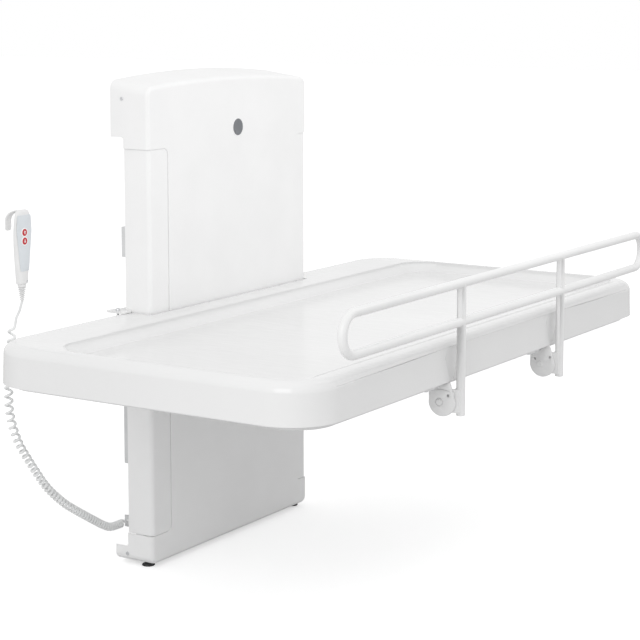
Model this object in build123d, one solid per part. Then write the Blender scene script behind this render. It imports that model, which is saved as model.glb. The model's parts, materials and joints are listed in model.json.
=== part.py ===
from build123d import *
from math import cos, degrees, log, pi, radians, sin, sqrt, tan
import os

# Wall-mounted, height-adjustable shower change table, in millimetres.
# X runs along the wall, Y goes into the wall and Z is up. Heights here are above the floor,
# and every piece is written out with the centre of the four wall bolts as its origin.
bolt_spacing_x = 440
bolt_spacing_z = 960
bolt_hole_radius = 5.5
mount_height = 630

# Fits that several pieces share
cut_overrun = 6
pin_clearance = 0.1
running_gap = 0.4
screw_clearance = 0.2

# Column covers
column_width = 742
column_depth = 123
cover_sheet = 3
cap_overhang = 4
slot_depth = 41
base_gap = 10
lower_seam = 86
upper_seam = 1105
slot_bottom = 50
slot_top = 1134
slot_corner_radius = 8
front_corner_height = 1264
front_crown_height = 1279
rear_corner_height = 1280
rear_crown_height = 1299
cap_corner_radius = 25
base_corner_radius = 20
cover_edge_radius = 12
strip_corner_radius = 18
strip_recess = 1.5
cover_gap = 2
left_strip_width = 80
right_strip_width = 52
lip_width = 10
flange_width = 14
flange_gap = 0.3
badge_radius = 25
badge_thickness = 1.5
badge_offset = 27
badge_height = 1141

# Cap screws, at the side of each cap
cap_screw_radius = 2.5
cap_screw_head_radius = 5
cap_screw_head_height = 2.4
cap_screw_inset = 39
cap_screw_top = 1234
cap_screw_bottom = 30
cap_screw_tip = 3

# Steel frame inside the column
upright_spacing = 556
upright_width = 40
upright_depth = 50
upright_bottom = 22
upright_top = 1228
frame_wall = 3
wall_plate_thickness = 10
wall_plate_height = 60
crossbar_height = 40
crossbar_depth = 40
crossbar_end_gap = 8
guide_rail_width = 10
guide_rail_thickness = 6
guide_rail_depth = 35
bracket_sheet = 3
bracket_depth = 45
bracket_back = 15
bracket_tab_height = 24
bracket_tab_depth = 36

# Levelling feet
foot_radius = 22.5
foot_height = 8
foot_stem_radius = 5
foot_stem_length = 36
foot_inset_x = 22
foot_depth = 88
foot_boss_radius = 9
foot_boss_height = 14
foot_edge_radius = 2

# Lifting column drive
drive_depth = 36
drive_tube_radius = 25
drive_tube_top = 640
drive_rod_radius = 14
drive_rod_bottom = 365
rod_clearance = 0.3
gearbox_bottom = 90
gearbox_height = 60
gearbox_depth = 50
gearbox_corner_radius = 14
motor_radius = 22.5
motor_length = 180
motor_offset = 60
clevis_base = 4
clevis_ear = 5
clevis_pin_radius = 6
clevis_pin_height = 78
clevis_eye_radius = 12
clevis_eye_width = 17
clevis_gap = 0.5
ear_corner_share = 0.8
control_box_width = 140
control_box_depth = 45
control_box_bottom = 200
control_box_height = 220
control_box_radius = 6

# Carriage
carriage_bottom = 262
carriage_top = 896
carriage_bar_thickness = 18
carriage_bar_back = 16
carriage_bar_front = 62
carriage_bar_gap = 8
carriage_plate_thickness = 6
carriage_plate_bottom = 560
carriage_plate_top = 700
mast_width = 80
mast_top = 905
rod_pin_height = 885
glide_front = 60
glide_back = 2
glide_gap = 1
glide_skin = 4
upper_glide_height = 80
lower_glide_height = 170

# Arms, underframe and beam
arm_width = 30
arm_height = 46
arm_wall = 3
arm_root_back = 12
arm_root_front = 38
arm_outer = 430
arm_corner_radius = 18
underframe_side_inset = 38
underframe_edge_inset = 24
underframe_radius = 85
underframe_band = 30
underframe_height = 32
underframe_wall = 2
underframe_drop = 36
beam_depth = 50
beam_height = 40
beam_centre = 520
beam_pad_length = 60
pad_thickness = 9.5
pad_length = 44
pad_width = 26
pad_front_inset = 120
pad_back_inset = 235

# Tray
tray_length = 1800
tray_back = 27
tray_front = 954
tray_top = 678
tray_height = 97
tray_wall = 4.5
tray_corner_radius = 120
tray_top_radius = 26
tray_draft_angle = 2
notch_clearance = 4
basin_side_inset = 38
basin_front_inset = 57
basin_back_inset = 173
basin_radius = 90
basin_depth = 28
basin_slope_angle = 40
basin_floor_radius = 8
groove_radius = 2
groove_inset = 9
groove_drop = 6.5
groove_start = 163
groove_end = 228
recess_width = 100
recess_depth = 8
recess_backing = 5
recess_top = 655
cutout_clearance = 4
retainer_width = 34
retainer_depth = 59
retainer_back = 2
retainer_thickness = 5
retainer_lift = 0.5
retainer_side_gap = 1
retainer_radius = 8
tongue_depth = 22
retainer_screw_radius = 3
retainer_screw_head_radius = 6
retainer_screw_head_height = 7
retainer_screw_x = 390
retainer_screw_depth = 32

# Safety rail
rail_centre = 12
rail_length = 1648
rail_tube_radius = 11
rail_tube_wall = 2
rail_upper_height = 819
rail_lower_height = 726
rail_reach = 44
post_spacing = 550
post_drop = 30
plug_height = 2.5

# Rail hinges
pivot_inset = 24
pivot_drop = 38
hinge_plate = 6
hinge_washer = 1
fixed_disc_radius = 34
leaf_disc_radius = 31
leaf_post_gap = 0.5
neck_back_reach = 26
neck_front_reach = 16
flange_length = 60
flange_back_reach = 28
flange_front_reach = 2
pivot_bolt_radius = 5
pivot_boss_radius = 9
pivot_boss_height = 5
pivot_nut_height = 5
washer_radius = 29
leaf_link_rise = 33
leaf_link_drop = 24
leaf_link_reach = 12
raised_disc_radius = 30
raised_disc_height = 2.5
lock_hole_radius = 4
near_lock_reach = 18
near_lock_rise = 15
far_lock_reach = 15
far_lock_rise = 13
bracket_bolt_radius = 4
bracket_bolt_head_radius = 6.5
bracket_bolt_head_height = 4
bracket_bolt_pitch = 30

# Handset
handset_x = -772
handset_front = 56
handset_top = 986
handset_waist = 900
handset_bottom = 806
handset_width = 50
handset_tail_width = 28
handset_thickness = 15
handset_tail_thickness = 22
handset_split = 8
handset_corner_radius = 13
handset_waist_radius = 60
handset_edge_radius = 2.5
hook_thickness = 4
hook_width = 26
hook_reach = 2
hook_tip = 935
hook_bend_radius = 9
keypad_top = 974
keypad_waist = 900
keypad_bottom = 838
keypad_width = 36
keypad_waist_width = 42
keypad_tail_width = 22
keypad_thickness = 0.8
keypad_corner_radius = 6
button_radius = 9
button_travel = 1
button_proud = 2.2
button_depth = 4
button_edge_radius = 0.8
up_button_height = 932
down_button_height = 911
relief_top = 806
relief_collar_radius = 10.5
relief_collar_height = 9
relief_length = 33
relief_root_radius = 8
relief_tip_radius = 4.6
relief_rib_radius = 2.2
relief_rib_count = 4
relief_depth = 45

# Curly cord between the handset and the column
cord_wire_radius = 3.2
cord_outer_radius = 11.5
cord_gap_depth = 13
cord_lower_pitch = 8
cord_upper_pitch = 24
cord_end_rise = 10
cord_section_sides = 4
cord_steps = 12
cord_bracket_sheet = 3
cord_bracket_height = 32
cord_bracket_inset = 30
cord_bracket_back = 3
gland_height = 106
gland_radius = 8
gland_body_length = 6
gland_nose_radius = 6
gland_nose_tip_radius = 4.6
gland_nose_length = 6

# Middle line of the curls from the column up to the lead, as X and height, chosen by hand
coil_route = [
    (-361, 106), (-386, 106), (-412, 107), (-442, 121), (-490, 150), (-541, 181), (-584, 208),
    (-624, 239), (-664, 276), (-700, 322), (-735, 369), (-759, 403), (-776, 441), (-788, 478),
    (-792, 512), (-791, 552), (-787, 600), (-780, 650), (-774, 690),
]

# Plain lead from the curls up to the handset, as X, distance from the wall and height. Its
# first run goes on from the curls for the length lead_start
lead_start = 16
lead_bend_share = 0.45
lead_route = [
    (-771, 25, 720), (-770.5, 35, 735), (-772, 45, 749), (-772, 45, 764),
]

# Places that follow from the sizes above
half_column = column_width / 2 - cap_overhang
half_cap = column_width / 2
upright_outer = (upright_spacing + upright_width) / 2
upright_inner = (upright_spacing - upright_width) / 2
frame_front = wall_plate_thickness + upright_depth
rail_face = upright_outer + guide_rail_thickness
bar_inner = rail_face + carriage_bar_gap
bar_outer = bar_inner + carriage_bar_thickness
carriage_face = carriage_bar_front + carriage_plate_thickness
tray_bottom = tray_top - tray_height
half_tray = tray_length / 2
basin_floor = tray_top - basin_depth
basin_underside = basin_floor - tray_wall
arm_top = basin_underside - pad_thickness
arm_bottom = arm_top - arm_height
arm_inner = arm_outer - arm_width
underframe_top = arm_top - underframe_drop
underframe_bottom = underframe_top - underframe_height
underframe_front = tray_front - underframe_edge_inset
underframe_back = tray_back + underframe_edge_inset
half_underframe = half_tray - underframe_side_inset
pivot_depth = tray_front - pivot_inset
pivot_height = underframe_bottom - pivot_drop
rail_depth = pivot_depth + rail_reach
post_bottom = pivot_height - post_drop
flange_back = pivot_depth - flange_back_reach
flange_front = pivot_depth + flange_front_reach
leaf_link_top = pivot_height + leaf_link_rise
leaf_link_bottom = pivot_height - leaf_link_drop
notch_half = half_cap
notch_front = column_depth + notch_clearance
cord_coil_radius = cord_outer_radius - cord_wire_radius
gland_depth = cord_gap_depth + cord_coil_radius
gland_tip = cord_bracket_inset - half_column - gland_body_length - gland_nose_length
post_places = [rail_centre - post_spacing / 2, rail_centre + post_spacing / 2]
sides = [-1, 1]


def block(x_start, x_end, y_start, y_end, z_start, z_end):
    """A box between two opposite corners"""
    centre = ((x_start + x_end) / 2, (y_start + y_end) / 2, (z_start + z_end) / 2)
    return Pos(*centre) * Box(abs(x_end - x_start), abs(y_end - y_start), abs(z_end - z_start))


def rod_x(radius, x_start, x_end, y, z):
    """A round bar along X"""
    turned = Rot(0, 90, 0) * Cylinder(radius, abs(x_end - x_start))
    return Pos((x_start + x_end) / 2, y, z) * turned


def rod_y(radius, y_start, y_end, x, z):
    """A round bar along Y"""
    turned = Rot(90, 0, 0) * Cylinder(radius, abs(y_end - y_start))
    return Pos(x, (y_start + y_end) / 2, z) * turned


def rod_z(radius, z_start, z_end, x, y):
    """An upright round bar"""
    return Pos(x, y, (z_start + z_end) / 2) * Cylinder(radius, abs(z_end - z_start))


def eased(bar, outward, size):
    """Bevels the end edge of a bar that looks along the axis named outward"""
    edges = bar.faces().sort_by(outward)[-1].edges()
    return chamfer(edges, size)


def save(name, pieces):
    """Writes one node, moved so that its origin is the centre of the wall bolts"""
    solids = []
    for piece in pieces:
        solids.extend(piece.solids())
    lowered = [Pos(0, 0, -mount_height) * solid for solid in solids]
    whole = lowered[0] if len(lowered) == 1 else Compound(children=lowered)
    export_step(whole, os.path.join("parts", name + ".step"))


def edge_level(front_level, rear_level, depth):
    """Height of a sloping edge of the cap at a distance from the wall"""
    return rear_level + (front_level - rear_level) * depth / column_depth


def cap_section(depth, inset):
    """Front view of the column at a distance from the wall, drawn in by the sheet"""
    half = half_cap - inset
    base = base_gap + inset
    corner = edge_level(front_corner_height, rear_corner_height, depth) - inset
    crown = edge_level(front_crown_height, rear_crown_height, depth) - inset
    right = Line((half, base), (half, corner))
    arch = ThreePointArc((half, corner), (0, crown), (-half, corner))
    left = Line((-half, corner), (-half, base))
    floor = Line((-half, base), (half, base))
    face = make_face([right, arch, left, floor])
    face = fillet(face.vertices().group_by(Axis.Y)[-1], cap_corner_radius - inset)
    face = fillet(face.vertices().group_by(Axis.Y)[0], base_corner_radius - inset)
    return Plane.XZ.offset(depth) * face


def cap_body(depth, rear, inset):
    """The column between a front face and a rear face, with its front edge rounded"""
    body = loft([cap_section(depth, inset), cap_section(rear, inset)], ruled=True)
    front_edges = body.faces().sort_by(Axis.Y)[0].edges()
    return fillet(front_edges, cover_edge_radius - inset)


def strip_face(x_inner, x_outer, z_start, z_end, radius):
    """Front view of a side strip, rounded at the two corners towards the middle"""
    face = Pos((x_inner + x_outer) / 2, (z_start + z_end) / 2) * Rectangle(
        abs(x_outer - x_inner), z_end - z_start
    )
    towards_middle = face.vertices().sort_by_distance((x_inner, (z_start + z_end) / 2))[:2]
    return fillet(towards_middle, radius)


def strip_inner(side):
    """X of the middle panel's edge beside a strip"""
    width = left_strip_width if side < 0 else right_strip_width
    return side * (half_column - width)


def make_front_cover():
    """One I-shaped cover: lower cap, middle panel and arched upper cap"""
    cover = cap_body(column_depth, 0, 0) - cap_body(
        column_depth - cover_sheet, -cut_overrun, cover_sheet
    )
    for side in sides:
        opening = strip_face(
            strip_inner(side), side * (half_cap + cut_overrun), lower_seam, upper_seam,
            strip_corner_radius,
        )
        cover -= extrude(Plane.XZ.offset(-cut_overrun) * opening, column_depth + 2 * cut_overrun)
    slot = Pos(-slot_depth / 2 + cut_overrun, (slot_bottom + slot_top) / 2) * Rectangle(
        slot_depth + 2 * cut_overrun, slot_top - slot_bottom
    )
    slot = fillet(slot.vertices().group_by(Axis.X)[0], slot_corner_radius)
    for side in sides:
        cover -= extrude(
            Plane.YZ.offset(side * (half_cap - cap_corner_radius)) * slot,
            side * (cap_corner_radius + cut_overrun),
        )
        for height in (cap_screw_top, cap_screw_bottom):
            cover -= rod_x(
                cap_screw_radius + screw_clearance, side * (half_cap - 2 * cover_sheet),
                side * (half_cap + cut_overrun), -cap_screw_inset, height,
            )
        cover -= rod_z(
            foot_stem_radius + cover_sheet, base_gap - cut_overrun, base_gap + 2 * cover_sheet,
            side * (half_column - foot_inset_x), -foot_depth,
        )
    return cover


def make_side_cover(side):
    """L-shaped side panel with its front strip, rear lip and the flange behind the middle"""
    inner_edge = abs(strip_inner(side)) + cover_gap
    front = column_depth - strip_recess
    z_start = lower_seam + cover_gap
    z_end = upper_seam - cover_gap
    ring = Pos((inner_edge + half_column) / 2, -(front + slot_depth) / 2) * Rectangle(
        half_column - inner_edge, front - slot_depth
    )
    corner = ring.vertices().sort_by_distance((half_column, -front))[:1]
    ring = fillet(corner, cover_edge_radius)
    hollow = Pos((inner_edge + half_column) / 2, -(front + slot_depth) / 2) * Rectangle(
        half_column - inner_edge - 2 * cover_sheet, front - slot_depth - 2 * cover_sheet
    )
    corner = hollow.vertices().sort_by_distance((half_column, -front))[:1]
    hollow = fillet(corner, cover_edge_radius - cover_sheet)
    open_side = Pos(
        (inner_edge + half_column - lip_width) / 2, -(front - cover_sheet) / 2
    ) * Rectangle(half_column - lip_width - inner_edge, front - cover_sheet)
    plan = ring - hollow - open_side
    cover = extrude(Pos(0, 0, z_start) * plan, z_end - z_start)
    strip = strip_face(
        inner_edge, half_column + cut_overrun, z_start, z_end, strip_corner_radius - cover_gap
    )
    cover &= extrude(Plane.XZ.offset(-cut_overrun) * strip, column_depth + 2 * cut_overrun)
    flange_front = column_depth - cover_sheet - flange_gap
    cover += block(
        inner_edge - flange_width, inner_edge + strip_corner_radius,
        -flange_front, cover_sheet - flange_front,
        z_start + strip_corner_radius, z_end - strip_corner_radius,
    )
    return cover if side > 0 else mirror(cover, Plane.YZ)


def make_cap_screws():
    """Four round-headed screws through the sides of the caps"""
    screws = []
    for side in sides:
        for height in (cap_screw_top, cap_screw_bottom):
            head_end = half_cap + cap_screw_head_height
            head = rod_x(
                cap_screw_head_radius, side * half_cap, side * head_end, -cap_screw_inset, height
            )
            tip = half_cap - cover_sheet - bracket_sheet - cap_screw_tip
            shank = rod_x(
                cap_screw_radius, side * tip, side * half_cap, -cap_screw_inset, height
            )
            screws.append(head + shank)
    return screws


def tube_box(x_start, x_end, y_start, y_end, z_start, z_end, wall, along):
    """A square tube, open at both ends along the named axis"""
    shrink = {"x": (0, 1, 1), "y": (1, 0, 1), "z": (1, 1, 0)}[along]
    low = (min(x_start, x_end), min(y_start, y_end), min(z_start, z_end))
    high = (max(x_start, x_end), max(y_start, y_end), max(z_start, z_end))
    inner_low = [a + wall * s - cut_overrun * (1 - s) for a, s in zip(low, shrink)]
    inner_high = [a - wall * s + cut_overrun * (1 - s) for a, s in zip(high, shrink)]
    bore = block(
        inner_low[0], inner_high[0], inner_low[1], inner_high[1], inner_low[2], inner_high[2]
    )
    return block(x_start, x_end, y_start, y_end, z_start, z_end) - bore


def make_upright(side):
    """Square steel tube that carries a guide rail"""
    return tube_box(
        side * upright_inner, side * upright_outer, -frame_front, -wall_plate_thickness,
        upright_bottom, upright_top, frame_wall, "z",
    )


def make_crossbar(z_start):
    """Square tube between the two uprights"""
    return tube_box(
        -upright_inner, upright_inner, -frame_front, crossbar_depth - frame_front,
        z_start, z_start + crossbar_height, frame_wall, "x",
    )


def make_wall_plate(height):
    """Plate on the wall with the holes for two of the four wall bolts"""
    plate = block(
        -upright_outer, upright_outer, -wall_plate_thickness, 0,
        height - wall_plate_height / 2, height + wall_plate_height / 2,
    )
    for side in sides:
        plate -= rod_y(
            bolt_hole_radius, -wall_plate_thickness - cut_overrun, cut_overrun,
            side * bolt_spacing_x / 2, height,
        )
    return plate


def make_cap_bracket(sheet_start, sheet_end, tab_start, tab_end, screw_height, front):
    """Folded sheet that closes an end of the frame and holds a cap by its screws"""
    tab_face = half_cap - cover_sheet
    bracket = block(-tab_face, tab_face, -front, -bracket_back, sheet_start, sheet_end)
    for side in sides:
        bracket += block(
            side * (tab_face - bracket_sheet), side * tab_face,
            -bracket_back - bracket_tab_depth, -bracket_back, tab_start, tab_end,
        )
        bracket -= rod_x(
            cap_screw_radius + screw_clearance, side * (tab_face - 2 * bracket_sheet),
            side * (tab_face + cut_overrun), -cap_screw_inset, screw_height,
        )
    return bracket & cap_body(
        column_depth - cover_sheet - flange_gap, -cut_overrun, cover_sheet + flange_gap
    )


def make_bottom_bracket():
    """Lower bracket, with a threaded boss over each levelling foot"""
    bracket = make_cap_bracket(
        upright_bottom - bracket_sheet, upright_bottom, upright_bottom - bracket_sheet,
        upright_bottom + bracket_tab_height, cap_screw_bottom, foot_depth + foot_boss_radius,
    )
    for side in sides:
        place = (side * (half_column - foot_inset_x), -foot_depth)
        bracket += rod_z(
            foot_boss_radius, upright_bottom - bracket_sheet,
            upright_bottom + foot_boss_height, *place,
        )
        bracket -= rod_z(
            foot_stem_radius + pin_clearance, upright_bottom - bracket_sheet - cut_overrun,
            upright_bottom + foot_boss_height + cut_overrun, *place,
        )
    return bracket


def make_foot(side):
    """Rubber foot with its threaded stem"""
    place = (side * (half_column - foot_inset_x), -foot_depth)
    pad = rod_z(foot_radius, 0, foot_height, *place)
    pad = eased(eased(pad, Axis.Z, foot_edge_radius), -Axis.Z, foot_edge_radius)
    return pad + rod_z(foot_stem_radius, foot_height, foot_height + foot_stem_length, *place)


def eye_plate(x_start, x_end, z_base, z_eye, hole_radius):
    """A lug seen along X: straight sides from its base and a round end about a hole"""
    lug = block(
        x_start, x_end, -drive_depth - clevis_eye_radius, clevis_eye_radius - drive_depth,
        z_base, z_eye,
    )
    lug += rod_x(clevis_eye_radius, x_start, x_end, -drive_depth, z_eye)
    low = min(x_start, x_end) - cut_overrun
    high = max(x_start, x_end) + cut_overrun
    return lug - rod_x(hole_radius, low, high, -drive_depth, z_eye)


def make_actuator_clevis():
    """Fork on the lower crossbar that carries the drive"""
    base = upright_bottom + crossbar_height
    ear_start = clevis_eye_width / 2 + clevis_gap
    fork = block(
        -ear_start - clevis_ear, ear_start + clevis_ear,
        -frame_front, crossbar_depth - frame_front, base, base + clevis_base,
    )
    for side in sides:
        fork += eye_plate(
            side * ear_start, side * (ear_start + clevis_ear), base, clevis_pin_height,
            clevis_pin_radius + pin_clearance,
        )
    return fork


def make_drive_pin(height):
    """Pin with a head at one end, through a fork and the eye between its ears"""
    reach = clevis_eye_width / 2 + clevis_gap + clevis_ear
    pin = rod_x(clevis_pin_radius, -reach, reach + clevis_ear, -drive_depth, height)
    head = rod_x(clevis_pin_radius + frame_wall, -reach - frame_wall, -reach,
                 -drive_depth, height)
    return pin + head


def make_gearbox():
    """Cast gearbox at the foot of the lifting tube, with its lower eye"""
    reach = motor_offset + motor_radius + frame_wall
    back = drive_depth - gearbox_depth / 2
    case = block(
        -gearbox_depth / 2, reach, -back - gearbox_depth, -back,
        gearbox_bottom, gearbox_bottom + gearbox_height,
    )
    case = fillet(case.edges().filter_by(Axis.Z), gearbox_corner_radius)
    lug = block(
        -clevis_eye_width / 2, clevis_eye_width / 2,
        -drive_depth - clevis_eye_radius, clevis_eye_radius - drive_depth,
        clevis_pin_height, gearbox_bottom,
    )
    lug += rod_x(
        clevis_eye_radius, -clevis_eye_width / 2, clevis_eye_width / 2,
        -drive_depth, clevis_pin_height,
    )
    lug -= rod_x(
        clevis_pin_radius + pin_clearance, -clevis_eye_width, clevis_eye_width,
        -drive_depth, clevis_pin_height,
    )
    return case + lug


def make_motor():
    """Round motor standing on the gearbox beside the tube"""
    base = gearbox_bottom + gearbox_height
    motor = rod_z(motor_radius, base, base + motor_length, motor_offset, -drive_depth)
    return eased(motor, Axis.Z, gearbox_corner_radius)


def make_drive_tube():
    """Fixed outer tube of the lifting drive, open at the top for the rod"""
    base = gearbox_bottom + gearbox_height
    tube = rod_z(drive_tube_radius, base, drive_tube_top, 0, -drive_depth)
    bore = rod_z(
        drive_rod_radius + rod_clearance, base + frame_wall, drive_tube_top + cut_overrun,
        0, -drive_depth,
    )
    return tube - bore


def make_drive_rod():
    """Moving rod of the drive, with its upper eye"""
    neck = rod_pin_height - clevis_eye_radius
    rod = rod_z(drive_rod_radius, drive_rod_bottom, neck - clevis_eye_radius, 0, -drive_depth)
    rod += eye_plate(
        -clevis_eye_width / 2, clevis_eye_width / 2, neck - clevis_eye_radius,
        rod_pin_height, clevis_pin_radius + pin_clearance,
    ) & rod_z(2 * drive_rod_radius, drive_rod_bottom, mast_top + cut_overrun, 0, -drive_depth)
    return rod


def make_control_box():
    """Closed control box on the side of the left upright"""
    start = -upright_inner
    box = block(
        start, start + control_box_width, -frame_front, control_box_depth - frame_front,
        control_box_bottom, control_box_bottom + control_box_height,
    )
    return fillet(box.edges().filter_by(Axis.Y), control_box_radius)


def make_cord_bracket():
    """Bent sheet inside the left side cover that holds the cord gland"""
    plate_face = half_column - cord_bracket_inset
    back = cord_bracket_back
    front = slot_depth + cover_sheet
    low = gland_height - cord_bracket_height / 2
    high = gland_height + cord_bracket_height / 2
    plate = block(-plate_face, cord_bracket_sheet - plate_face, -front, -back, low, high)
    plate += block(
        -half_column + cover_sheet, cord_bracket_sheet - plate_face,
        -front - cord_bracket_sheet, -front, low, high,
    )
    return plate


def make_gland():
    """Round gland body with a tapered nose where the cord goes in"""
    face = cord_bracket_inset - half_column
    shoulder = face - gland_body_length
    body = rod_x(gland_radius, face, shoulder, -gland_depth, gland_height)
    nose = Rot(0, -90, 0) * Cone(gland_nose_radius, gland_nose_tip_radius, gland_nose_length)
    return body + Pos((shoulder + gland_tip) / 2, -gland_depth, gland_height) * nose


def make_carriage_bar(side):
    """Flat bar that slides beside an upright"""
    bar = block(
        side * bar_inner, side * bar_outer, -carriage_bar_front, -carriage_bar_back,
        carriage_bottom, carriage_top,
    )
    return bar


def make_guide_rails():
    """Rails on the outer face of each upright"""
    return [
        block(
            side * upright_outer, side * rail_face,
            -guide_rail_depth - guide_rail_width / 2, guide_rail_width / 2 - guide_rail_depth,
            slot_bottom, slot_top,
        )
        for side in sides
    ]


def make_glide_blocks(z_start, height):
    """Plastic blocks round the carriage bars, grooved for the guide rails"""
    blocks = []
    for side in sides:
        glide = block(
            side * (upright_outer + glide_gap), side * (bar_outer + glide_skin),
            -glide_front, -glide_back, z_start, z_start + height,
        )
        glide -= block(
            side * bar_inner, side * bar_outer, -carriage_bar_front - cut_overrun,
            -carriage_bar_back, z_start - cut_overrun, z_start + height + cut_overrun,
        )
        glide -= block(
            side * upright_outer, side * (rail_face + running_gap),
            -guide_rail_depth - guide_rail_width / 2 - running_gap,
            guide_rail_width / 2 + running_gap - guide_rail_depth,
            z_start - cut_overrun, z_start + height + cut_overrun,
        )
        blocks.append(glide)
    return blocks


def make_carriage_plate():
    """Plate between the carriage bars, with the mast and fork that the rod pushes"""
    back = -carriage_bar_front
    front = -carriage_face
    plate = block(-bar_outer, bar_outer, front, back, carriage_plate_bottom, carriage_plate_top)
    plate += block(-mast_width / 2, mast_width / 2, front, back, carriage_plate_bottom, mast_top)
    ear_start = clevis_eye_width / 2 + clevis_gap
    for side in sides:
        ear = block(
            side * ear_start, side * (ear_start + clevis_ear), back,
            clevis_eye_radius - drive_depth, rod_pin_height - clevis_eye_radius,
            rod_pin_height + clevis_eye_radius,
        )
        ear = fillet(
            ear.edges().filter_by(Axis.X).group_by(Axis.Y)[-1], clevis_eye_radius * ear_corner_share
        )
        ear -= rod_x(
            clevis_pin_radius + pin_clearance, 0, side * (ear_start + clevis_ear + cut_overrun),
            -drive_depth, rod_pin_height,
        )
        plate += ear
    return plate


def make_arm(side):
    """Hollow bracket arm: a root through the side slot and a beam under the tray"""
    root = block(
        bar_outer, arm_outer, -arm_root_front, -arm_root_back, arm_bottom, arm_top
    )
    beam = block(
        arm_inner, arm_outer, -underframe_front + underframe_band, -arm_root_back,
        arm_bottom, arm_top,
    )
    arm = root + beam
    outer_corner = arm.edges().filter_by(Axis.Z).sort_by_distance(
        (arm_outer, -arm_root_back, arm_top)
    )[0]
    arm = fillet(outer_corner, arm_corner_radius)
    inside = block(
        bar_outer - cut_overrun, arm_outer - arm_wall, arm_wall - arm_root_front,
        -arm_root_back - arm_wall, arm_bottom + arm_wall, arm_top - arm_wall,
    ) + block(
        arm_inner + arm_wall, arm_outer - arm_wall,
        -underframe_front + underframe_band + arm_wall, -arm_root_back - arm_wall,
        arm_bottom + arm_wall, arm_top - arm_wall,
    )
    corner = inside.edges().filter_by(Axis.Z).sort_by_distance(
        (arm_outer - arm_wall, -arm_root_back - arm_wall, arm_top)
    )[0]
    inside = fillet(corner, arm_corner_radius - arm_wall)
    arm -= inside
    return arm if side > 0 else mirror(arm, Plane.YZ)


def loop_body(inset, z_start, z_end):
    """A rounded rectangle that follows the underframe, drawn in by an inset"""
    face = Pos(0, -(underframe_front + underframe_back) / 2) * RectangleRounded(
        2 * (half_underframe - inset), underframe_front - underframe_back - 2 * inset,
        underframe_radius - inset,
    )
    return extrude(Pos(0, 0, z_start) * face, z_end - z_start)


def make_underframe():
    """Hollow band under the rim of the tray, open where the arms come through"""
    frame = loop_body(0, underframe_bottom, underframe_top) - loop_body(
        underframe_band, underframe_bottom - cut_overrun, underframe_top + cut_overrun
    )
    inside = loop_body(
        underframe_wall, underframe_bottom + underframe_wall, underframe_top - underframe_wall
    ) - loop_body(
        underframe_band - underframe_wall, underframe_bottom, underframe_top
    )
    frame -= inside
    frame -= block(
        -arm_outer, arm_outer, -underframe_back - underframe_band - cut_overrun,
        0, underframe_bottom - cut_overrun, underframe_top + cut_overrun,
    )
    return frame


def make_basin_beam():
    """Square tube between the arms under the middle of the basin"""
    return tube_box(
        -arm_inner, arm_inner, -beam_centre - beam_depth / 2, beam_depth / 2 - beam_centre,
        underframe_top, underframe_top + beam_height, arm_wall, "x",
    )


def make_tray_pads():
    """Rubber pads that the basin rests on"""
    pads = []
    for side in sides:
        middle = side * (arm_inner + arm_width / 2)
        for place in (underframe_front - pad_front_inset, pad_back_inset):
            pads.append(block(
                middle - pad_width / 2, middle + pad_width / 2,
                -place - pad_length / 2, pad_length / 2 - place, arm_top, basin_underside,
            ))
    pads.append(block(
        -beam_pad_length, beam_pad_length, -beam_centre - pad_width / 2,
        pad_width / 2 - beam_centre, underframe_top + beam_height, basin_underside,
    ))
    return pads


def tray_block(inset, z_start, z_end, top_radius):
    """The tray's outer form, drawn in by an inset, with its top edge rounded"""
    plan = Pos(0, -(tray_front + tray_back) / 2) * RectangleRounded(
        tray_length - 2 * inset, tray_front - tray_back - 2 * inset, tray_corner_radius - inset
    )
    body = extrude(Pos(0, 0, z_start) * plan, z_end - z_start, taper=tray_draft_angle)
    rim = body.faces().sort_by(Axis.Z)[-1].edges()
    return fillet(rim, top_radius)


def make_basin(inset, z_start, z_end):
    """The basin's form: sloping walls, rounded corners and a rounded floor edge"""
    half = half_tray - basin_side_inset + inset
    front = tray_front - basin_front_inset + inset
    back = tray_back + basin_back_inset - inset
    plan = Pos(0, -(front + back) / 2) * RectangleRounded(
        2 * half, front - back, basin_radius + inset
    )
    body = extrude(Pos(0, 0, z_end) * plan, z_start - z_end, taper=basin_slope_angle)
    floor = body.faces().sort_by(Axis.Z)[0].edges()
    return fillet(floor, basin_floor_radius + inset)


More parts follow.
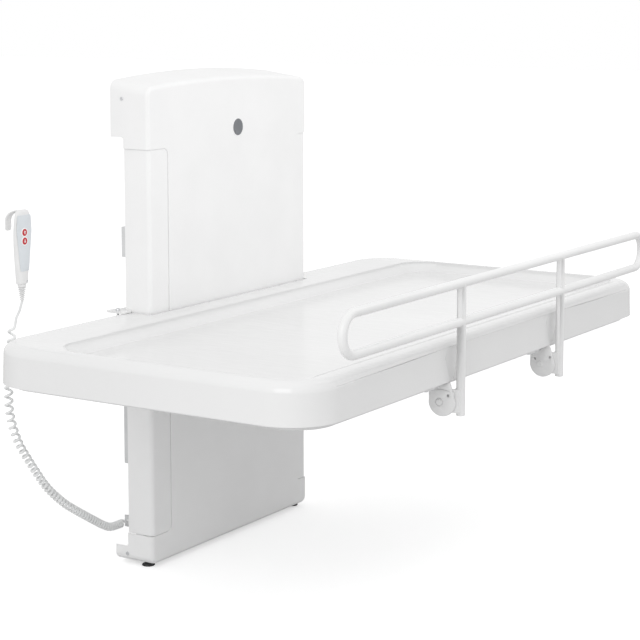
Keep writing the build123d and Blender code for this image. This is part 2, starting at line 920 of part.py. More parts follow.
def make_tray():
    """Moulded tray: rounded rim and skirt, sunk basin, notch for the column"""
    tray = tray_block(0, tray_bottom, tray_top, tray_top_radius)
    inside = tray_block(
        tray_wall, tray_bottom, tray_top - tray_wall, tray_top_radius - tray_wall
    )
    inside += block(
        tray_wall - half_tray + tray_corner_radius, half_tray - tray_wall - tray_corner_radius,
        tray_wall - tray_front, -tray_back - tray_wall, tray_bottom - cut_overrun, tray_bottom,
    ) + extrude(
        Pos(0, -(tray_front + tray_back) / 2, tray_bottom - cut_overrun) * RectangleRounded(
            tray_length - 2 * tray_wall, tray_front - tray_back - 2 * tray_wall,
            tray_corner_radius - tray_wall,
        ), cut_overrun,
    )
    inside -= make_basin(tray_wall, basin_underside, tray_top)
    notch_wall = block(
        -notch_half - tray_wall, notch_half + tray_wall, -notch_front - tray_wall, 0,
        tray_bottom - 2 * cut_overrun, tray_top,
    )
    inside -= notch_wall
    for place in post_places:
        inside -= block(
            place - recess_width / 2 - tray_wall, place + recess_width / 2 + tray_wall,
            -tray_front, recess_depth + recess_backing - tray_front,
            tray_bottom - 2 * cut_overrun, recess_top + tray_wall,
        )
    tray -= inside
    tray -= make_basin(0, basin_floor, tray_top)
    notch = block(
        -notch_half, notch_half, -notch_front, cut_overrun,
        tray_bottom - cut_overrun, tray_top + cut_overrun,
    )
    tray -= notch
    for place in post_places:
        recess = Pos(place, (tray_bottom - cut_overrun + recess_top) / 2) * Rectangle(
            recess_width, recess_top - tray_bottom + cut_overrun
        )
        recess = fillet(recess.vertices().group_by(Axis.Y)[-1], recess_width / 4)
        tray -= extrude(
            Plane.XZ.offset(tray_front - recess_depth) * recess, recess_depth + cut_overrun
        )
    for side in sides:
        tray -= block(
            side * (notch_half - cutout_clearance), side * (arm_outer + cutout_clearance),
            -arm_root_front - cutout_clearance, 0,
            tray_bottom - cut_overrun, arm_top + cutout_clearance,
        )
        tray -= rod_z(
            retainer_screw_radius + screw_clearance, arm_top, tray_top + cut_overrun,
            side * retainer_screw_x, -retainer_screw_depth,
        )
    tray -= rod_x(
        groove_radius, groove_start - half_tray, half_tray - groove_end,
        groove_inset - tray_front, tray_top - groove_drop,
    )
    return tray


def make_retainer(side):
    """Plate over the tray's rear corner with a tongue to the carriage bar"""
    start = half_column + retainer_side_gap
    low = tray_top + retainer_lift
    plan = Pos(start + retainer_width / 2, -retainer_back - retainer_depth / 2) * Rectangle(
        retainer_width, retainer_depth
    )
    plan = fillet(plan.vertices().group_by(Axis.X)[-1], retainer_radius)
    plate = extrude(Pos(0, 0, low) * plan, retainer_thickness)
    middle = (arm_root_back + arm_root_front) / 2
    plate += block(
        bar_outer, start + retainer_radius, -middle - tongue_depth / 2,
        tongue_depth / 2 - middle, low, low + retainer_thickness,
    )
    plate -= rod_z(
        retainer_screw_radius + screw_clearance, low - cut_overrun,
        low + retainer_thickness + cut_overrun, retainer_screw_x, -retainer_screw_depth,
    )
    return plate if side > 0 else mirror(plate, Plane.YZ)


def make_retainer_screws():
    """Screws through the retaining plates and the tray onto the arms"""
    screws = []
    face = tray_top + retainer_lift + retainer_thickness
    for side in sides:
        place = (side * retainer_screw_x, -retainer_screw_depth)
        head = rod_z(retainer_screw_head_radius, face, face + retainer_screw_head_height, *place)
        screws.append(head + rod_z(retainer_screw_radius, arm_top, face, *place))
    return screws


def make_rail_bracket(place, near):
    """Fixed hinge plate: a disc about the pivot, a neck and a flange under the frame"""
    outer = place - rail_tube_radius - leaf_post_gap - hinge_plate - hinge_washer
    face = outer - hinge_plate
    bracket = rod_x(fixed_disc_radius, face, outer, -pivot_depth, pivot_height)
    bracket += block(
        face, outer, -pivot_depth - neck_front_reach, neck_back_reach - pivot_depth,
        pivot_height, underframe_bottom,
    )
    bracket += block(
        outer - flange_length, outer, -flange_front, -flange_back,
        underframe_bottom - hinge_plate, underframe_bottom,
    )
    if near:
        raised = rod_x(
            raised_disc_radius, face - raised_disc_height, face, -pivot_depth, pivot_height
        )
        bracket += eased(raised, -Axis.X, raised_disc_height / 2)
    lock_depth = pivot_depth + (near_lock_reach if near else -far_lock_reach)
    lock_height = pivot_height + (near_lock_rise if near else far_lock_rise)
    bracket -= rod_x(
        lock_hole_radius, face - raised_disc_height - cut_overrun, face + hinge_plate / 2,
        -lock_depth, lock_height,
    )
    bracket -= rod_x(
        pivot_bolt_radius + pin_clearance, face - raised_disc_height - cut_overrun,
        outer + cut_overrun, -pivot_depth, pivot_height,
    )
    for bolt in bracket_bolt_places(outer):
        bracket -= rod_z(
            bracket_bolt_radius + screw_clearance, underframe_bottom - 2 * hinge_plate,
            underframe_bottom + cut_overrun, bolt, -(flange_back + flange_front) / 2,
        )
    return bracket


def bracket_bolt_places(outer):
    """X of the two bolts of a hinge flange"""
    first = outer - flange_length + (flange_length - bracket_bolt_pitch) / 3
    return [first, first + bracket_bolt_pitch]


def make_bracket_bolts():
    """Bolts up through the hinge flanges to the underframe"""
    bolts = []
    for place in post_places:
        outer = place - rail_tube_radius - leaf_post_gap - hinge_plate - hinge_washer
        for bolt in bracket_bolt_places(outer):
            spot = (bolt, -(flange_back + flange_front) / 2)
            face = underframe_bottom - hinge_plate
            head = rod_z(
                bracket_bolt_head_radius, face - bracket_bolt_head_height, face, *spot
            )
            shank = rod_z(bracket_bolt_radius, face, underframe_bottom, *spot)
            bolts.append(head + shank)
    return bolts


def make_pivot_bolts():
    """Bolts that the rail turns on, with a round head outside and a nut inside"""
    bolts = []
    for place in post_places:
        near = place == post_places[0]
        inner = place - rail_tube_radius - leaf_post_gap
        face = inner - 2 * hinge_plate - hinge_washer
        if near:
            face -= raised_disc_height
        head = rod_x(
            pivot_boss_radius, face - pivot_boss_height, face, -pivot_depth, pivot_height
        )
        shank = rod_x(pivot_bolt_radius, face, inner, -pivot_depth, pivot_height)
        nut = extrude(
            Plane.YZ.offset(inner) * Pos(-pivot_depth, pivot_height)
            * RegularPolygon(pivot_boss_radius, 6), pivot_nut_height,
        )
        bolts.append(head + shank + nut)
    return bolts


def make_washers():
    """Friction washers between the fixed plates and the leaves"""
    washers = []
    for place in post_places:
        inner = place - rail_tube_radius - leaf_post_gap - hinge_plate
        ring = rod_x(washer_radius, inner - hinge_washer, inner, -pivot_depth, pivot_height)
        ring -= rod_x(
            pivot_bolt_radius + pin_clearance, inner - hinge_washer - cut_overrun,
            inner + cut_overrun, -pivot_depth, pivot_height,
        )
        washers.append(ring)
    return washers


def make_hinge_leaf(place):
    """Moving hinge plate: a disc about the pivot and a saddle that grips the post"""
    inner = place - rail_tube_radius - leaf_post_gap
    face = inner - hinge_plate
    leaf = rod_x(leaf_disc_radius, face, inner, -pivot_depth, pivot_height)
    link = block(
        face, inner, -rail_depth, -pivot_depth - leaf_disc_radius / 2,
        leaf_link_bottom, leaf_link_top,
    )
    saddle = block(
        face, place, -rail_depth - rail_tube_radius / 2, leaf_link_reach - rail_depth,
        leaf_link_bottom, leaf_link_top,
    )
    leaf += link + saddle
    leaf -= rod_z(
        rail_tube_radius, leaf_link_bottom - cut_overrun, leaf_link_top + cut_overrun,
        place, -rail_depth,
    )
    leaf -= rod_x(
        pivot_bolt_radius + pin_clearance, face - cut_overrun, inner + cut_overrun,
        -pivot_depth, pivot_height,
    )
    return leaf


def rail_path():
    """Closed line through the two long tubes and their bends"""
    bend = (rail_upper_height - rail_lower_height) / 2
    middle = (rail_upper_height + rail_lower_height) / 2
    reach = rail_length / 2 - rail_tube_radius - bend
    left = rail_centre - reach
    right = rail_centre + reach
    y = -rail_depth
    upper = Line((left, y, rail_upper_height), (right, y, rail_upper_height))
    right_bend = ThreePointArc(
        (right, y, rail_upper_height), (right + bend, y, middle), (right, y, rail_lower_height)
    )
    lower = Line((right, y, rail_lower_height), (left, y, rail_lower_height))
    left_bend = ThreePointArc(
        (left, y, rail_lower_height), (left - bend, y, middle), (left, y, rail_upper_height)
    )
    return [upper, right_bend, lower, left_bend]


def make_rail_frame():
    """Bent tube rail: a long loop on two posts, bored in its straight stretches"""
    rail = None
    bores = []
    bore_radius = rail_tube_radius - rail_tube_wall
    for piece in rail_path():
        start = Plane(origin=piece @ 0, z_dir=piece % 0)
        bar = sweep(start * Circle(rail_tube_radius), path=piece)
        rail = bar if rail is None else rail + bar
        if piece.geom_type == GeomType.LINE:
            bores.append(sweep(start * Circle(bore_radius), path=piece))
    for place in post_places:
        rail += rod_z(rail_tube_radius, post_bottom, rail_upper_height, place, -rail_depth)
        bores.append(rod_z(
            bore_radius, post_bottom - cut_overrun, rail_lower_height - rail_tube_radius,
            place, -rail_depth,
        ))
    for bore in bores:
        rail -= bore
    return rail


def make_rail_plugs():
    """Caps in the lower ends of the posts"""
    plugs = []
    for place in post_places:
        cap = rod_z(rail_tube_radius, post_bottom - plug_height, post_bottom, place, -rail_depth)
        cap = eased(cap, -Axis.Z, plug_height / 2)
        spigot = rod_z(
            rail_tube_radius - rail_tube_wall - pin_clearance, post_bottom,
            post_bottom + rail_tube_radius, place, -rail_depth,
        )
        plugs.append(cap + spigot)
    return plugs


def tapered_face(top_width, waist_width, tail_width, top, waist, tail, radius, waist_radius):
    """Front view of a panel that narrows from its waist down"""
    points = [
        (top_width / 2, top), (waist_width / 2, waist), (tail_width / 2, tail),
        (-tail_width / 2, tail), (-waist_width / 2, waist), (-top_width / 2, top),
    ]
    face = make_face(Polyline(*points, close=True))
    ends = face.vertices().group_by(Axis.Y)
    face = fillet(ends[0] + ends[-1], radius)
    middle = [v for v in face.vertices() if abs(v.Y - waist) < radius]
    return fillet(middle, waist_radius)


def handset_blank():
    """Handset form: tapered front view, thicker towards its tail"""
    front = tapered_face(
        handset_width, handset_width, handset_tail_width, handset_top, handset_waist,
        handset_bottom, handset_corner_radius, handset_waist_radius,
    )
    depth = handset_tail_thickness
    blank = extrude(Plane.XZ.offset(handset_front - depth) * Pos(handset_x, 0) * front, depth)
    back = handset_front - handset_thickness
    side = make_face(Polyline(
        (-handset_front, handset_bottom), (handset_tail_thickness - handset_front,
        handset_bottom), (-back, handset_top), (-handset_front, handset_top), close=True,
    ))
    start = handset_x - handset_width
    profile = extrude(Plane.YZ.offset(start) * side, 2 * handset_width)
    blank &= profile
    rims = blank.faces().sort_by(Axis.Y)[0].edges()
    return fillet(rims, handset_edge_radius)


def keypad_face():
    """Front view of the keypad foil"""
    return Pos(handset_x, 0) * tapered_face(
        keypad_width, keypad_waist_width, keypad_tail_width, keypad_top, keypad_waist,
        keypad_bottom, keypad_corner_radius, handset_waist_radius,
    )


def button_bore(radius, front, back, height):
    """A round pocket or disc of a button"""
    return rod_y(radius, -front, -back, handset_x, height)


def make_handset_front():
    """Front half of the handset, with pockets for the two buttons"""
    split = handset_split - handset_front
    shell = handset_blank() & block(
        handset_x - handset_width, handset_x + handset_width,
        -handset_front - cut_overrun, split, handset_bottom, handset_top,
    )
    for height in (up_button_height, down_button_height):
        pocket_floor = handset_front - button_depth - button_travel
        shell -= button_bore(
            button_radius + flange_gap, handset_front + cut_overrun, pocket_floor, height
        )
    return shell


def make_handset_back():
    """Back half of the handset, with the hook that bends towards the wall"""
    split = handset_split - handset_front
    shell = handset_blank() & block(
        handset_x - handset_width, handset_x + handset_width, split, 0,
        handset_bottom, handset_top,
    )
    top = handset_top - hook_thickness
    back = hook_reach + hook_thickness / 2
    path = FilletPolyline(
        (handset_x, split, top), (handset_x, -back, top), (handset_x, -back, hook_tip),
        radius=hook_bend_radius,
    )
    section = Plane(origin=path @ 0, z_dir=path % 0, x_dir=(1, 0, 0))
    hook = sweep(section * Rectangle(hook_width, hook_thickness), path=path)
    return shell + hook


def make_keypad():
    """Thin keypad foil with holes for the buttons"""
    foil = extrude(Plane.XZ.offset(handset_front) * keypad_face(), keypad_thickness)
    for height in (up_button_height, down_button_height):
        foil -= button_bore(
            button_radius + flange_gap, handset_front + cut_overrun,
            handset_front - cut_overrun, height,
        )
    return foil


def make_button(height):
    """Round push button with a rounded rim"""
    front = handset_front + button_proud
    button = button_bore(button_radius, front, handset_front - button_depth, height)
    return eased(button, -Axis.Y, button_edge_radius)


def make_strain_relief():
    """Collar and ribbed boot below the handset, turned from one profile"""
    pitch = relief_length / relief_rib_count
    points = [(0, 0), (relief_collar_radius, 0), (relief_collar_radius, -relief_collar_height)]
    for number in range(relief_rib_count):
        drop = relief_collar_height + pitch * number
        share = number / relief_rib_count
        core = relief_root_radius + (relief_tip_radius - relief_root_radius) * share
        points += [
            (core, -drop), (core, -drop - pitch / 2),
            (core + relief_rib_radius, -drop - pitch / 2),
            (core + relief_rib_radius / 2, -drop - pitch),
        ]
    points.append((0, -relief_collar_height - relief_length))
    profile = make_face(Polyline(*points, close=True))
    turned = revolve(Plane.XZ * profile, Axis.Z)
    return Pos(handset_x, -relief_depth, relief_top) * turned


def coil_line():
    """Smooth middle line of the curls, as a list of points in the plane of the gap"""
    points = [Vector(x, -cord_gap_depth, height) for x, height in coil_route]
    steps = cord_steps
    line = []
    for number in range(1, len(points) - 1):
        start = points[0] if number == 1 else (points[number - 1] + points[number]) * 0.5
        last = number == len(points) - 2
        end = points[-1] if last else (points[number] + points[number + 1]) * 0.5
        for step in range(steps + (1 if last else 0)):
            share = step / steps
            line.append(
                start * (1 - share) ** 2 + points[number] * (2 * share * (1 - share))
                + end * share ** 2
            )
    return line


def coil_frame(line, lengths, distance):
    """Point on the middle line at a distance along it, with its direction"""
    index = 0
    while index < len(line) - 2 and lengths[index + 1] < distance:
        index += 1
    share = (distance - lengths[index]) / (lengths[index + 1] - lengths[index])
    before = (line[index + 1] - line[max(index - 1, 0)]).normalized()
    after = (line[min(index + 2, len(line) - 1)] - line[index]).normalized()
    return (
        line[index] * (1 - share) + line[index + 1] * share,
        (before * (1 - share) + after * share).normalized(),
    )


def biarc(start, start_way, end, end_way):
    """Two tangent arcs from one point and direction to another"""
    span = end - start
    turn = 1 - start_way.dot(end_way)
    pull = span.dot(start_way + end_way)
    reach = (sqrt(pull * pull + 2 * turn * span.dot(span)) - pull) / (2 * turn)
    middle = (start + end + (start_way - end_way) * reach) * 0.5
    middle_way = (end - end_way * reach - start - start_way * reach).normalized()
    return [
        Edge.make_tangent_arc(start, start_way, middle),
        Edge.make_tangent_arc(middle, middle_way, end),
    ]


def coil_points():
    """Quarter points of the curls from the column upwards, each with its direction"""
    line = coil_line()
    lengths = [0]
    for before, after in zip(line, line[1:]):
        lengths.append(lengths[-1] + (after - before).length)
    radius = cord_coil_radius
    first = cord_end_rise
    last = lengths[-1] - cord_end_rise
    growth = (cord_upper_pitch - cord_lower_pitch) / (last - first)
    wanted = log(cord_upper_pitch / cord_lower_pitch) / growth
    turns = round(wanted)
    places = [(0, 0, False)]
    quarters = 4 * turns - 2
    spread = cord_upper_pitch / cord_lower_pitch
    for quarter in range(quarters + 1):
        rise = (spread ** (quarter / quarters) - 1) / (spread - 1)
        places.append((first + (last - first) * rise, (quarter + 1) / 4, True))
    places.append((lengths[-1], turns, False))
    forward = Vector(0, -1, 0)
    points = []
    for distance, turn, curling in places:
        centre, way = coil_frame(line, lengths, distance)
        across = way.cross(forward)
        angle = 2 * pi * turn
        point = centre + (forward * cos(angle) + across * sin(angle)) * radius
        if curling:
            around = (across * cos(angle) - forward * sin(angle)) * (2 * pi * radius)
            pitch = cord_lower_pitch + growth * (distance - first)
            points.append((point, (around + way * pitch).normalized()))
        else:
            points.append((point, Vector(-1, 0, 0) if turn == 0 else way))
    print("cord curls", turns, "middle line", round(lengths[-1]))
    return points


def lead_edges(top, way):
    """Plain lead as straight runs joined by arcs, each as large as its runs allow"""
    points = [top, top + way * lead_start]
    points += [Vector(x, -depth, height) for x, depth, height in lead_route]
    radii = []
    for before, point, after in zip(points, points[1:], points[2:]):
        run_in = point - before
        run_out = after - point
        shorter = min(run_in.length, run_out.length)
        half_turn = radians(run_in.get_angle(run_out)) / 2
        radii.append(lead_bend_share * shorter / tan(half_turn))
    print("cord lead radii", [round(radius, 1) for radius in radii])
    return FilletPolyline(*points, radius=radii).edges()


def least_gap(edges):
    """Smallest gap between parts of the wire that are not next to each other along it"""
    points = []
    for edge in edges:
        share_step = 1 / cord_steps
        places = [edge.position_at(step * share_step * 3) for step in range(cord_steps // 3)]
        spacing = edge.length * share_step * 3
        points += [(place.X, place.Y, place.Z, spacing) for place in places]
    least = cord_outer_radius
    for number, (x, y, z, spacing) in enumerate(points):
        travelled = 0
        for other_x, other_y, other_z, other_spacing in points[number + 1:]:
            travelled += other_spacing
            if travelled < 4 * cord_wire_radius:
                continue
            if abs(other_x - x) > 2 * cord_outer_radius:
                continue
            apart = sqrt((other_x - x) ** 2 + (other_y - y) ** 2 + (other_z - z) ** 2)
            least = min(least, apart - 2 * cord_wire_radius)
    return least


def swept_walls(section, edges):
    """Walls of a tube carried along lines and arcs, and the section at its far end"""
    walls = []
    for edge in edges:
        start = edge.position_at(0)
        if edge.geom_type == GeomType.LINE:
            step = edge.position_at(1) - start
            piece = Solid.extrude(section, step)
            after = section.moved(Location(step))
        else:
            normal = edge.tangent_at(0).cross(edge.arc_center - start).normalized()
            axis = Axis(edge.arc_center, normal)
            turn = degrees(edge.length / edge.radius)
            piece = Solid.revolve(section, turn, axis)
            after = section.rotate(axis, turn)
        for face in piece.faces():
            before_end = (face.center() - section.center()).length
            after_end = (face.center() - after.center()).length
            if min(before_end, after_end) > cord_wire_radius / 2:
                walls.append(face)
        section = after
    return walls, section


def make_curly_cord():
    """One unbroken wire: straight from the gland, curls, then the lead to the handset"""
    curls = coil_points()
    start = curls[0][0]
    top, top_way = curls[-1]
    edges = [Edge.make_line(Vector(gland_tip, start.Y, start.Z), start)]
    for (point, way), (after, after_way) in zip(curls, curls[1:]):
        edges += biarc(point, way, after, after_way)
    edges += lead_edges(top, top_way)
    length = sum(edge.length for edge in edges)
    print("cord wire length", round(length), "least gap", round(least_gap(edges), 2))
    first = edges[0]
    outline = RegularPolygon(cord_wire_radius, cord_section_sides)
    section = (Plane(origin=first @ 0, z_dir=first % 0) * outline).faces()[0]
    walls, end = swept_walls(section, edges)
    cord = Solid(Shell([section] + walls + [end]))
    print("cord volume", round(cord.volume), "section times length", round(section.area * length))
    return cord


os.makedirs("parts", exist_ok=True)

save("left_upright", [make_upright(-1)])
save("right_upright", [make_upright(1)])
save("top_crossbar", [make_crossbar(upright_top - crossbar_end_gap - crossbar_height)])
save("bottom_crossbar", [make_crossbar(upright_bottom)])
save("upper_wall_plate", [make_wall_plate(mount_height + bolt_spacing_z / 2)])
save("lower_wall_plate", [make_wall_plate(mount_height - bolt_spacing_z / 2)])
save("guide_rails", make_guide_rails())
save("top_cap_bracket", [make_cap_bracket(
    upright_top, upright_top + bracket_sheet, cap_screw_top - bracket_tab_height / 2,
    cap_screw_top + bracket_tab_height / 2, cap_screw_top, bracket_back + bracket_depth,
)])
save("bottom_cap_bracket", [make_bottom_bracket()])
save("front_cover", [make_front_cover()])
save("left_side_cover", [make_side_cover(-1)])
save("right_side_cover", [make_side_cover(1)])
save("cap_screws", make_cap_screws())
save("front_badge", [rod_y(
    badge_radius, -column_depth - badge_thickness, -column_depth, badge_offset, badge_height
)])
save("left_foot", [make_foot(-1)])
save("right_foot", [make_foot(1)])

save("actuator_clevis", [make_actuator_clevis()])
save("actuator_lower_pin", [make_drive_pin(clevis_pin_height)])
save("actuator_gearbox", [make_gearbox()])
save("actuator_motor", [make_motor()])
save("actuator_tube", [make_drive_tube()])
save("actuator_rod", [make_drive_rod()])
save("actuator_upper_pin", [make_drive_pin(rod_pin_height)])
save("control_box", [make_control_box()])

save("carriage_plate", [make_carriage_plate()])
save("left_carriage_bar", [make_carriage_bar(-1)])
save("right_carriage_bar", [make_carriage_bar(1)])
save("upper_glide_blocks", make_glide_blocks(carriage_top - upper_glide_height, upper_glide_height))
save("lower_glide_blocks", make_glide_blocks(carriage_bottom, lower_glide_height))
save("left_arm", [make_arm(-1)])
save("right_arm", [make_arm(1)])
save("underframe", [make_underframe()])
save("basin_beam", [make_basin_beam()])
save("tray_pads", make_tray_pads())
save("tray", [make_tray()])
save("retaining_plates", [make_retainer(-1), make_retainer(1)])
save("retaining_screws", make_retainer_screws())

save("left_rail_bracket", [make_rail_bracket(post_places[0], True)])
save("right_rail_bracket", [make_rail_bracket(post_places[1], False)])
save("bracket_bolts", make_bracket_bolts())
save("rail_pivot_bolts", make_pivot_bolts())
save("friction_washers", make_washers())
save("left_hinge_leaf", [make_hinge_leaf(post_places[0])])
save("right_hinge_leaf", [make_hinge_leaf(post_places[1])])
save("rail_frame", [make_rail_frame()])
save("rail_end_plugs", make_rail_plugs())

save("handset_front_shell", [make_handset_front()])
save("handset_back_shell", [make_handset_back()])
save("handset_keypad", [make_keypad()])
save("handset_strain_relief", [make_strain_relief()])
save("up_button", [make_button(up_button_height)])
save("down_button", [make_button(down_button_height)])
save("cord_bracket", [make_cord_bracket()])
save("cord_gland", [make_gland()])
save("curly_cord", [make_curly_cord()])
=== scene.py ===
# %% [markdown]
# # A shower change table for the wall
# The object is a tall white column on the wall, a long shallow tray that it carries, a rail in
# front of the tray and a handset on a curly cord. The measured solids come from one packed
# model. This lesson dresses them: it gives each surface its finish, and makes the small and
# rounded pieces again with more detail than the measured solids have.

import json
from math import cos, log, pi, radians, sin, sqrt, tan

import bmesh
import bpy
from bmesh.types import BMEdge, BMFace, BMVert
from mathutils import Matrix, Vector


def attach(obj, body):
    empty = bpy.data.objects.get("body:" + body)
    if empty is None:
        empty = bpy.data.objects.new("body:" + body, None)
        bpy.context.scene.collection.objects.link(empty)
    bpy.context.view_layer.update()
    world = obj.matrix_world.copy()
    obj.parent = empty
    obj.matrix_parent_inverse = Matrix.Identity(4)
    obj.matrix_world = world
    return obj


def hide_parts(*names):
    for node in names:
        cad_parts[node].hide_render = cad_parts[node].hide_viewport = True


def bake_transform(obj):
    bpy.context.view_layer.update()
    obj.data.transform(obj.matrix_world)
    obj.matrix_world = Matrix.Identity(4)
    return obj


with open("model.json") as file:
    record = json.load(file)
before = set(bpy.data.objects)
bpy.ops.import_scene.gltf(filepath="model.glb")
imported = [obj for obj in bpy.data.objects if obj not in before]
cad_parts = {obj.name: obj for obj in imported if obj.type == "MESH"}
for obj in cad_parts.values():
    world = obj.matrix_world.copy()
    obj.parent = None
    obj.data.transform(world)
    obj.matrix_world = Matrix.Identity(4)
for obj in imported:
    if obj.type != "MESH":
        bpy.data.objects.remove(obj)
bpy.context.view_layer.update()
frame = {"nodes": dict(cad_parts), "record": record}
slot_of = {part["node"]: part["material_slot"] for part in frame["record"]["subparts"]}

# %% [markdown]
# ## The camera
# A product photograph is taken from a few metres away with a long lens, so that upright edges
# stay nearly parallel. The place, the turn and the lens were fitted to edges of the tray, the
# column and the rail. A small lens shift moves the picture up without tilting the camera more.

# %% Camera
camera_place = (-4.1014, -3.0208, 0.8668)
camera_turn = 57.4887
camera_pitch = 7.0524

lens = bpy.data.cameras.new("photo_camera")
lens.lens = 103.856
lens.sensor_width = 36.0
lens.shift_y = -0.15
camera = bpy.data.objects.new("photo_camera", lens)
camera.location = camera_place
camera.rotation_euler = (radians(90 - camera_pitch), 0, -radians(camera_turn))
bpy.context.scene.collection.objects.link(camera)
bpy.context.scene.camera = camera
bpy.context.scene.view_settings.view_transform = "Standard"
print("camera at", [round(x, 2) for x in camera.location])

# %% [markdown]
# ## The middle line of the curly cord
# The cord leaves the column near the floor, swings outwards under its own weight and rises to
# the handset. A few listed points give that swing, and a smooth spline of order three runs
# between them. Heights are above the floor, and the origin of the model lies higher, at
# the middle of the wall bolts.

# %% Route of the cord
floor_level = -0.630
cord_gap_depth = 0.013
gland_tip_x = -0.349
gland_height = 0.106
coil_route = [
    (-0.352, 0.106), (-0.386, 0.106), (-0.412, 0.107), (-0.442, 0.121), (-0.490, 0.150),
    (-0.541, 0.181), (-0.584, 0.208), (-0.624, 0.239), (-0.664, 0.276), (-0.700, 0.322),
    (-0.735, 0.369), (-0.759, 0.403), (-0.776, 0.441), (-0.788, 0.478), (-0.792, 0.512),
    (-0.791, 0.552), (-0.787, 0.600), (-0.780, 0.650), (-0.773, 0.699),
]
lead_route = [(-0.7725, 0.029, 0.731), (-0.772, 0.043, 0.747), (-0.772, 0.045, 0.764)]


def smooth_line(name, points):
    """A curve of one smooth spline with these control points"""
    line = bpy.data.curves.new(name, "CURVE")
    line.dimensions = "3D"
    spline = line.splines.new("NURBS")
    spline.points.add(len(points) - 1)
    for control, point in zip(spline.points, points):
        control.co = (*point, 1.0)
    spline.order_u = 3
    spline.use_endpoint_u = True
    return line


def points_along(line):
    """Points read in order from a curve that has no bevel"""
    guide = bpy.data.objects.new(line.name, line)
    mesh = bpy.data.meshes.new_from_object(guide)
    points = [vertex.co.copy() for vertex in mesh.vertices]
    bpy.data.objects.remove(guide)
    bpy.data.meshes.remove(mesh)
    return points


middle = points_along(smooth_line("coil_middle", [
    (x, -cord_gap_depth, height + floor_level) for x, height in coil_route
]))
travelled = [0.0]
for before, after in zip(middle, middle[1:]):
    travelled.append(travelled[-1] + (after - before).length)
print("middle line", round(travelled[-1], 3), "m with", len(middle), "points")

# %% [markdown]
# ## The curls
# The wire winds round that line. Near the column the curls lie close, and they open towards the
# handset, because the upper ones carry the weight of the lower ones. So the pitch grows along
# the line, and the number of curls follows from it. The loop adds the points of the curls to
# the wire's own spline.

# %% Points of the wire
cord_diameter = 0.0066
curl_radius = 0.0083
lower_pitch = 0.008
upper_pitch = 0.024
end_rise = 0.010
lead_start = 0.012
points_per_curl = 16
pull_in = (3 + cos(2 * pi / points_per_curl)) / 4


def middle_at(distance):
    """Point and direction of the middle line at a distance along it"""
    index = 0
    while index < len(middle) - 2 and travelled[index + 1] < distance:
        index += 1
    share = (distance - travelled[index]) / (travelled[index + 1] - travelled[index])
    before = (middle[index + 1] - middle[max(index - 1, 0)]).normalized()
    after = (middle[min(index + 2, len(middle) - 1)] - middle[index]).normalized()
    return middle[index].lerp(middle[index + 1], share), before.lerp(after, share).normalized()


first = end_rise
last = travelled[-1] - end_rise
growth = (upper_pitch - lower_pitch) / (last - first)
curls = round(log(upper_pitch / lower_pitch) / growth)


def distance_at(turn):
    """How far along the middle line the wire is after some turns"""
    quarter = 0.25
    if turn < quarter:
        return first * sqrt(turn / quarter)
    if turn > curls - quarter:
        return travelled[-1] - end_rise * sqrt((curls - turn) / quarter)
    spread = upper_pitch / lower_pitch
    rise = (spread ** ((turn - quarter) / (curls - 2 * quarter)) - 1) / (spread - 1)
    return first + (last - first) * rise


forward = Vector((0, -1, 0))
wire_points = [Vector((gland_tip_x, -cord_gap_depth - curl_radius, gland_height + floor_level))]
for number in range(curls * points_per_curl + 1):
    turn = number / points_per_curl
    centre, way = middle_at(distance_at(turn))
    across = way.cross(forward)
    angle = 2 * pi * turn
    radius = curl_radius if number in (0, curls * points_per_curl) else curl_radius / pull_in
    wire_points.append(centre + (forward * cos(angle) + across * sin(angle)) * radius)
wire_points.append(wire_points[-1] + way * lead_start)
for x, depth, height in lead_route:
    wire_points.append(Vector((x, -depth, height + floor_level)))
print("curls", curls, "wire points", len(wire_points))

# %% [markdown]
# ## The wire
# A round bevel on the spline gives the jacket, and it is turned into a mesh.

# %% Wire of the curly cord
wire_line = smooth_line("curly_cord_line", wire_points)
wire_line.splines[0].resolution_u = 1
wire_path = points_along(wire_line)
wire_length = sum((after - before).length for before, after in zip(wire_path, wire_path[1:]))

wire_line.bevel_depth = cord_diameter / 2
wire_line.bevel_resolution = 3
wire_line.use_fill_caps = True
wire_source = bpy.data.objects.new("curly_cord_line", wire_line)
wire_mesh = bpy.data.meshes.new_from_object(wire_source)
bpy.data.objects.remove(wire_source)
wire = bpy.data.objects.new("curly_cord_wire", wire_mesh)
bpy.context.scene.collection.objects.link(wire)
wire_mesh.shade_smooth()
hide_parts("curly_cord")
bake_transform(wire)
print("wire length", round(wire_length, 3), "faces", len(wire_mesh.polygons))

# %% [markdown]
# ## Finishes
# Most of the table is white, but no two whites are alike: powder coat on steel is satin and a
# little pebbled, the tray's moulded shell is glossy, and the handset is fine-grained plastic.
# Each finish is one material. Its colour and gloss sit on the shader, and a few noise textures
# in Object coordinates add the grain, the small changes of tone and the uneven gloss.

# %% Helpers for materials


def paint(red, green, blue):
    """A colour given as a screen shows it, turned into the linear values that Blender wants"""
    linear = []
    for value in (red, green, blue):
        share = value / 255
        linear.append(share / 12.92 if share <= 0.04045 else ((share + 0.055) / 1.055) ** 2.4)
    return (*linear, 1.0)


def new_finish(name, colour, roughness, metallic=0.0, coat=0.0):
    """A material with its constants on the shader, and its nodes to add to"""
    material = bpy.data.materials.new(name)
    material.use_nodes = True
    tree = material.node_tree
    shader = tree.nodes["Principled BSDF"]
    shader.inputs["Base Color"].default_value = colour
    shader.inputs["Roughness"].default_value = roughness
    shader.inputs["Metallic"].default_value = metallic
    shader.inputs["Coat Weight"].default_value = coat
    material.diffuse_color = colour
    return material, tree, shader


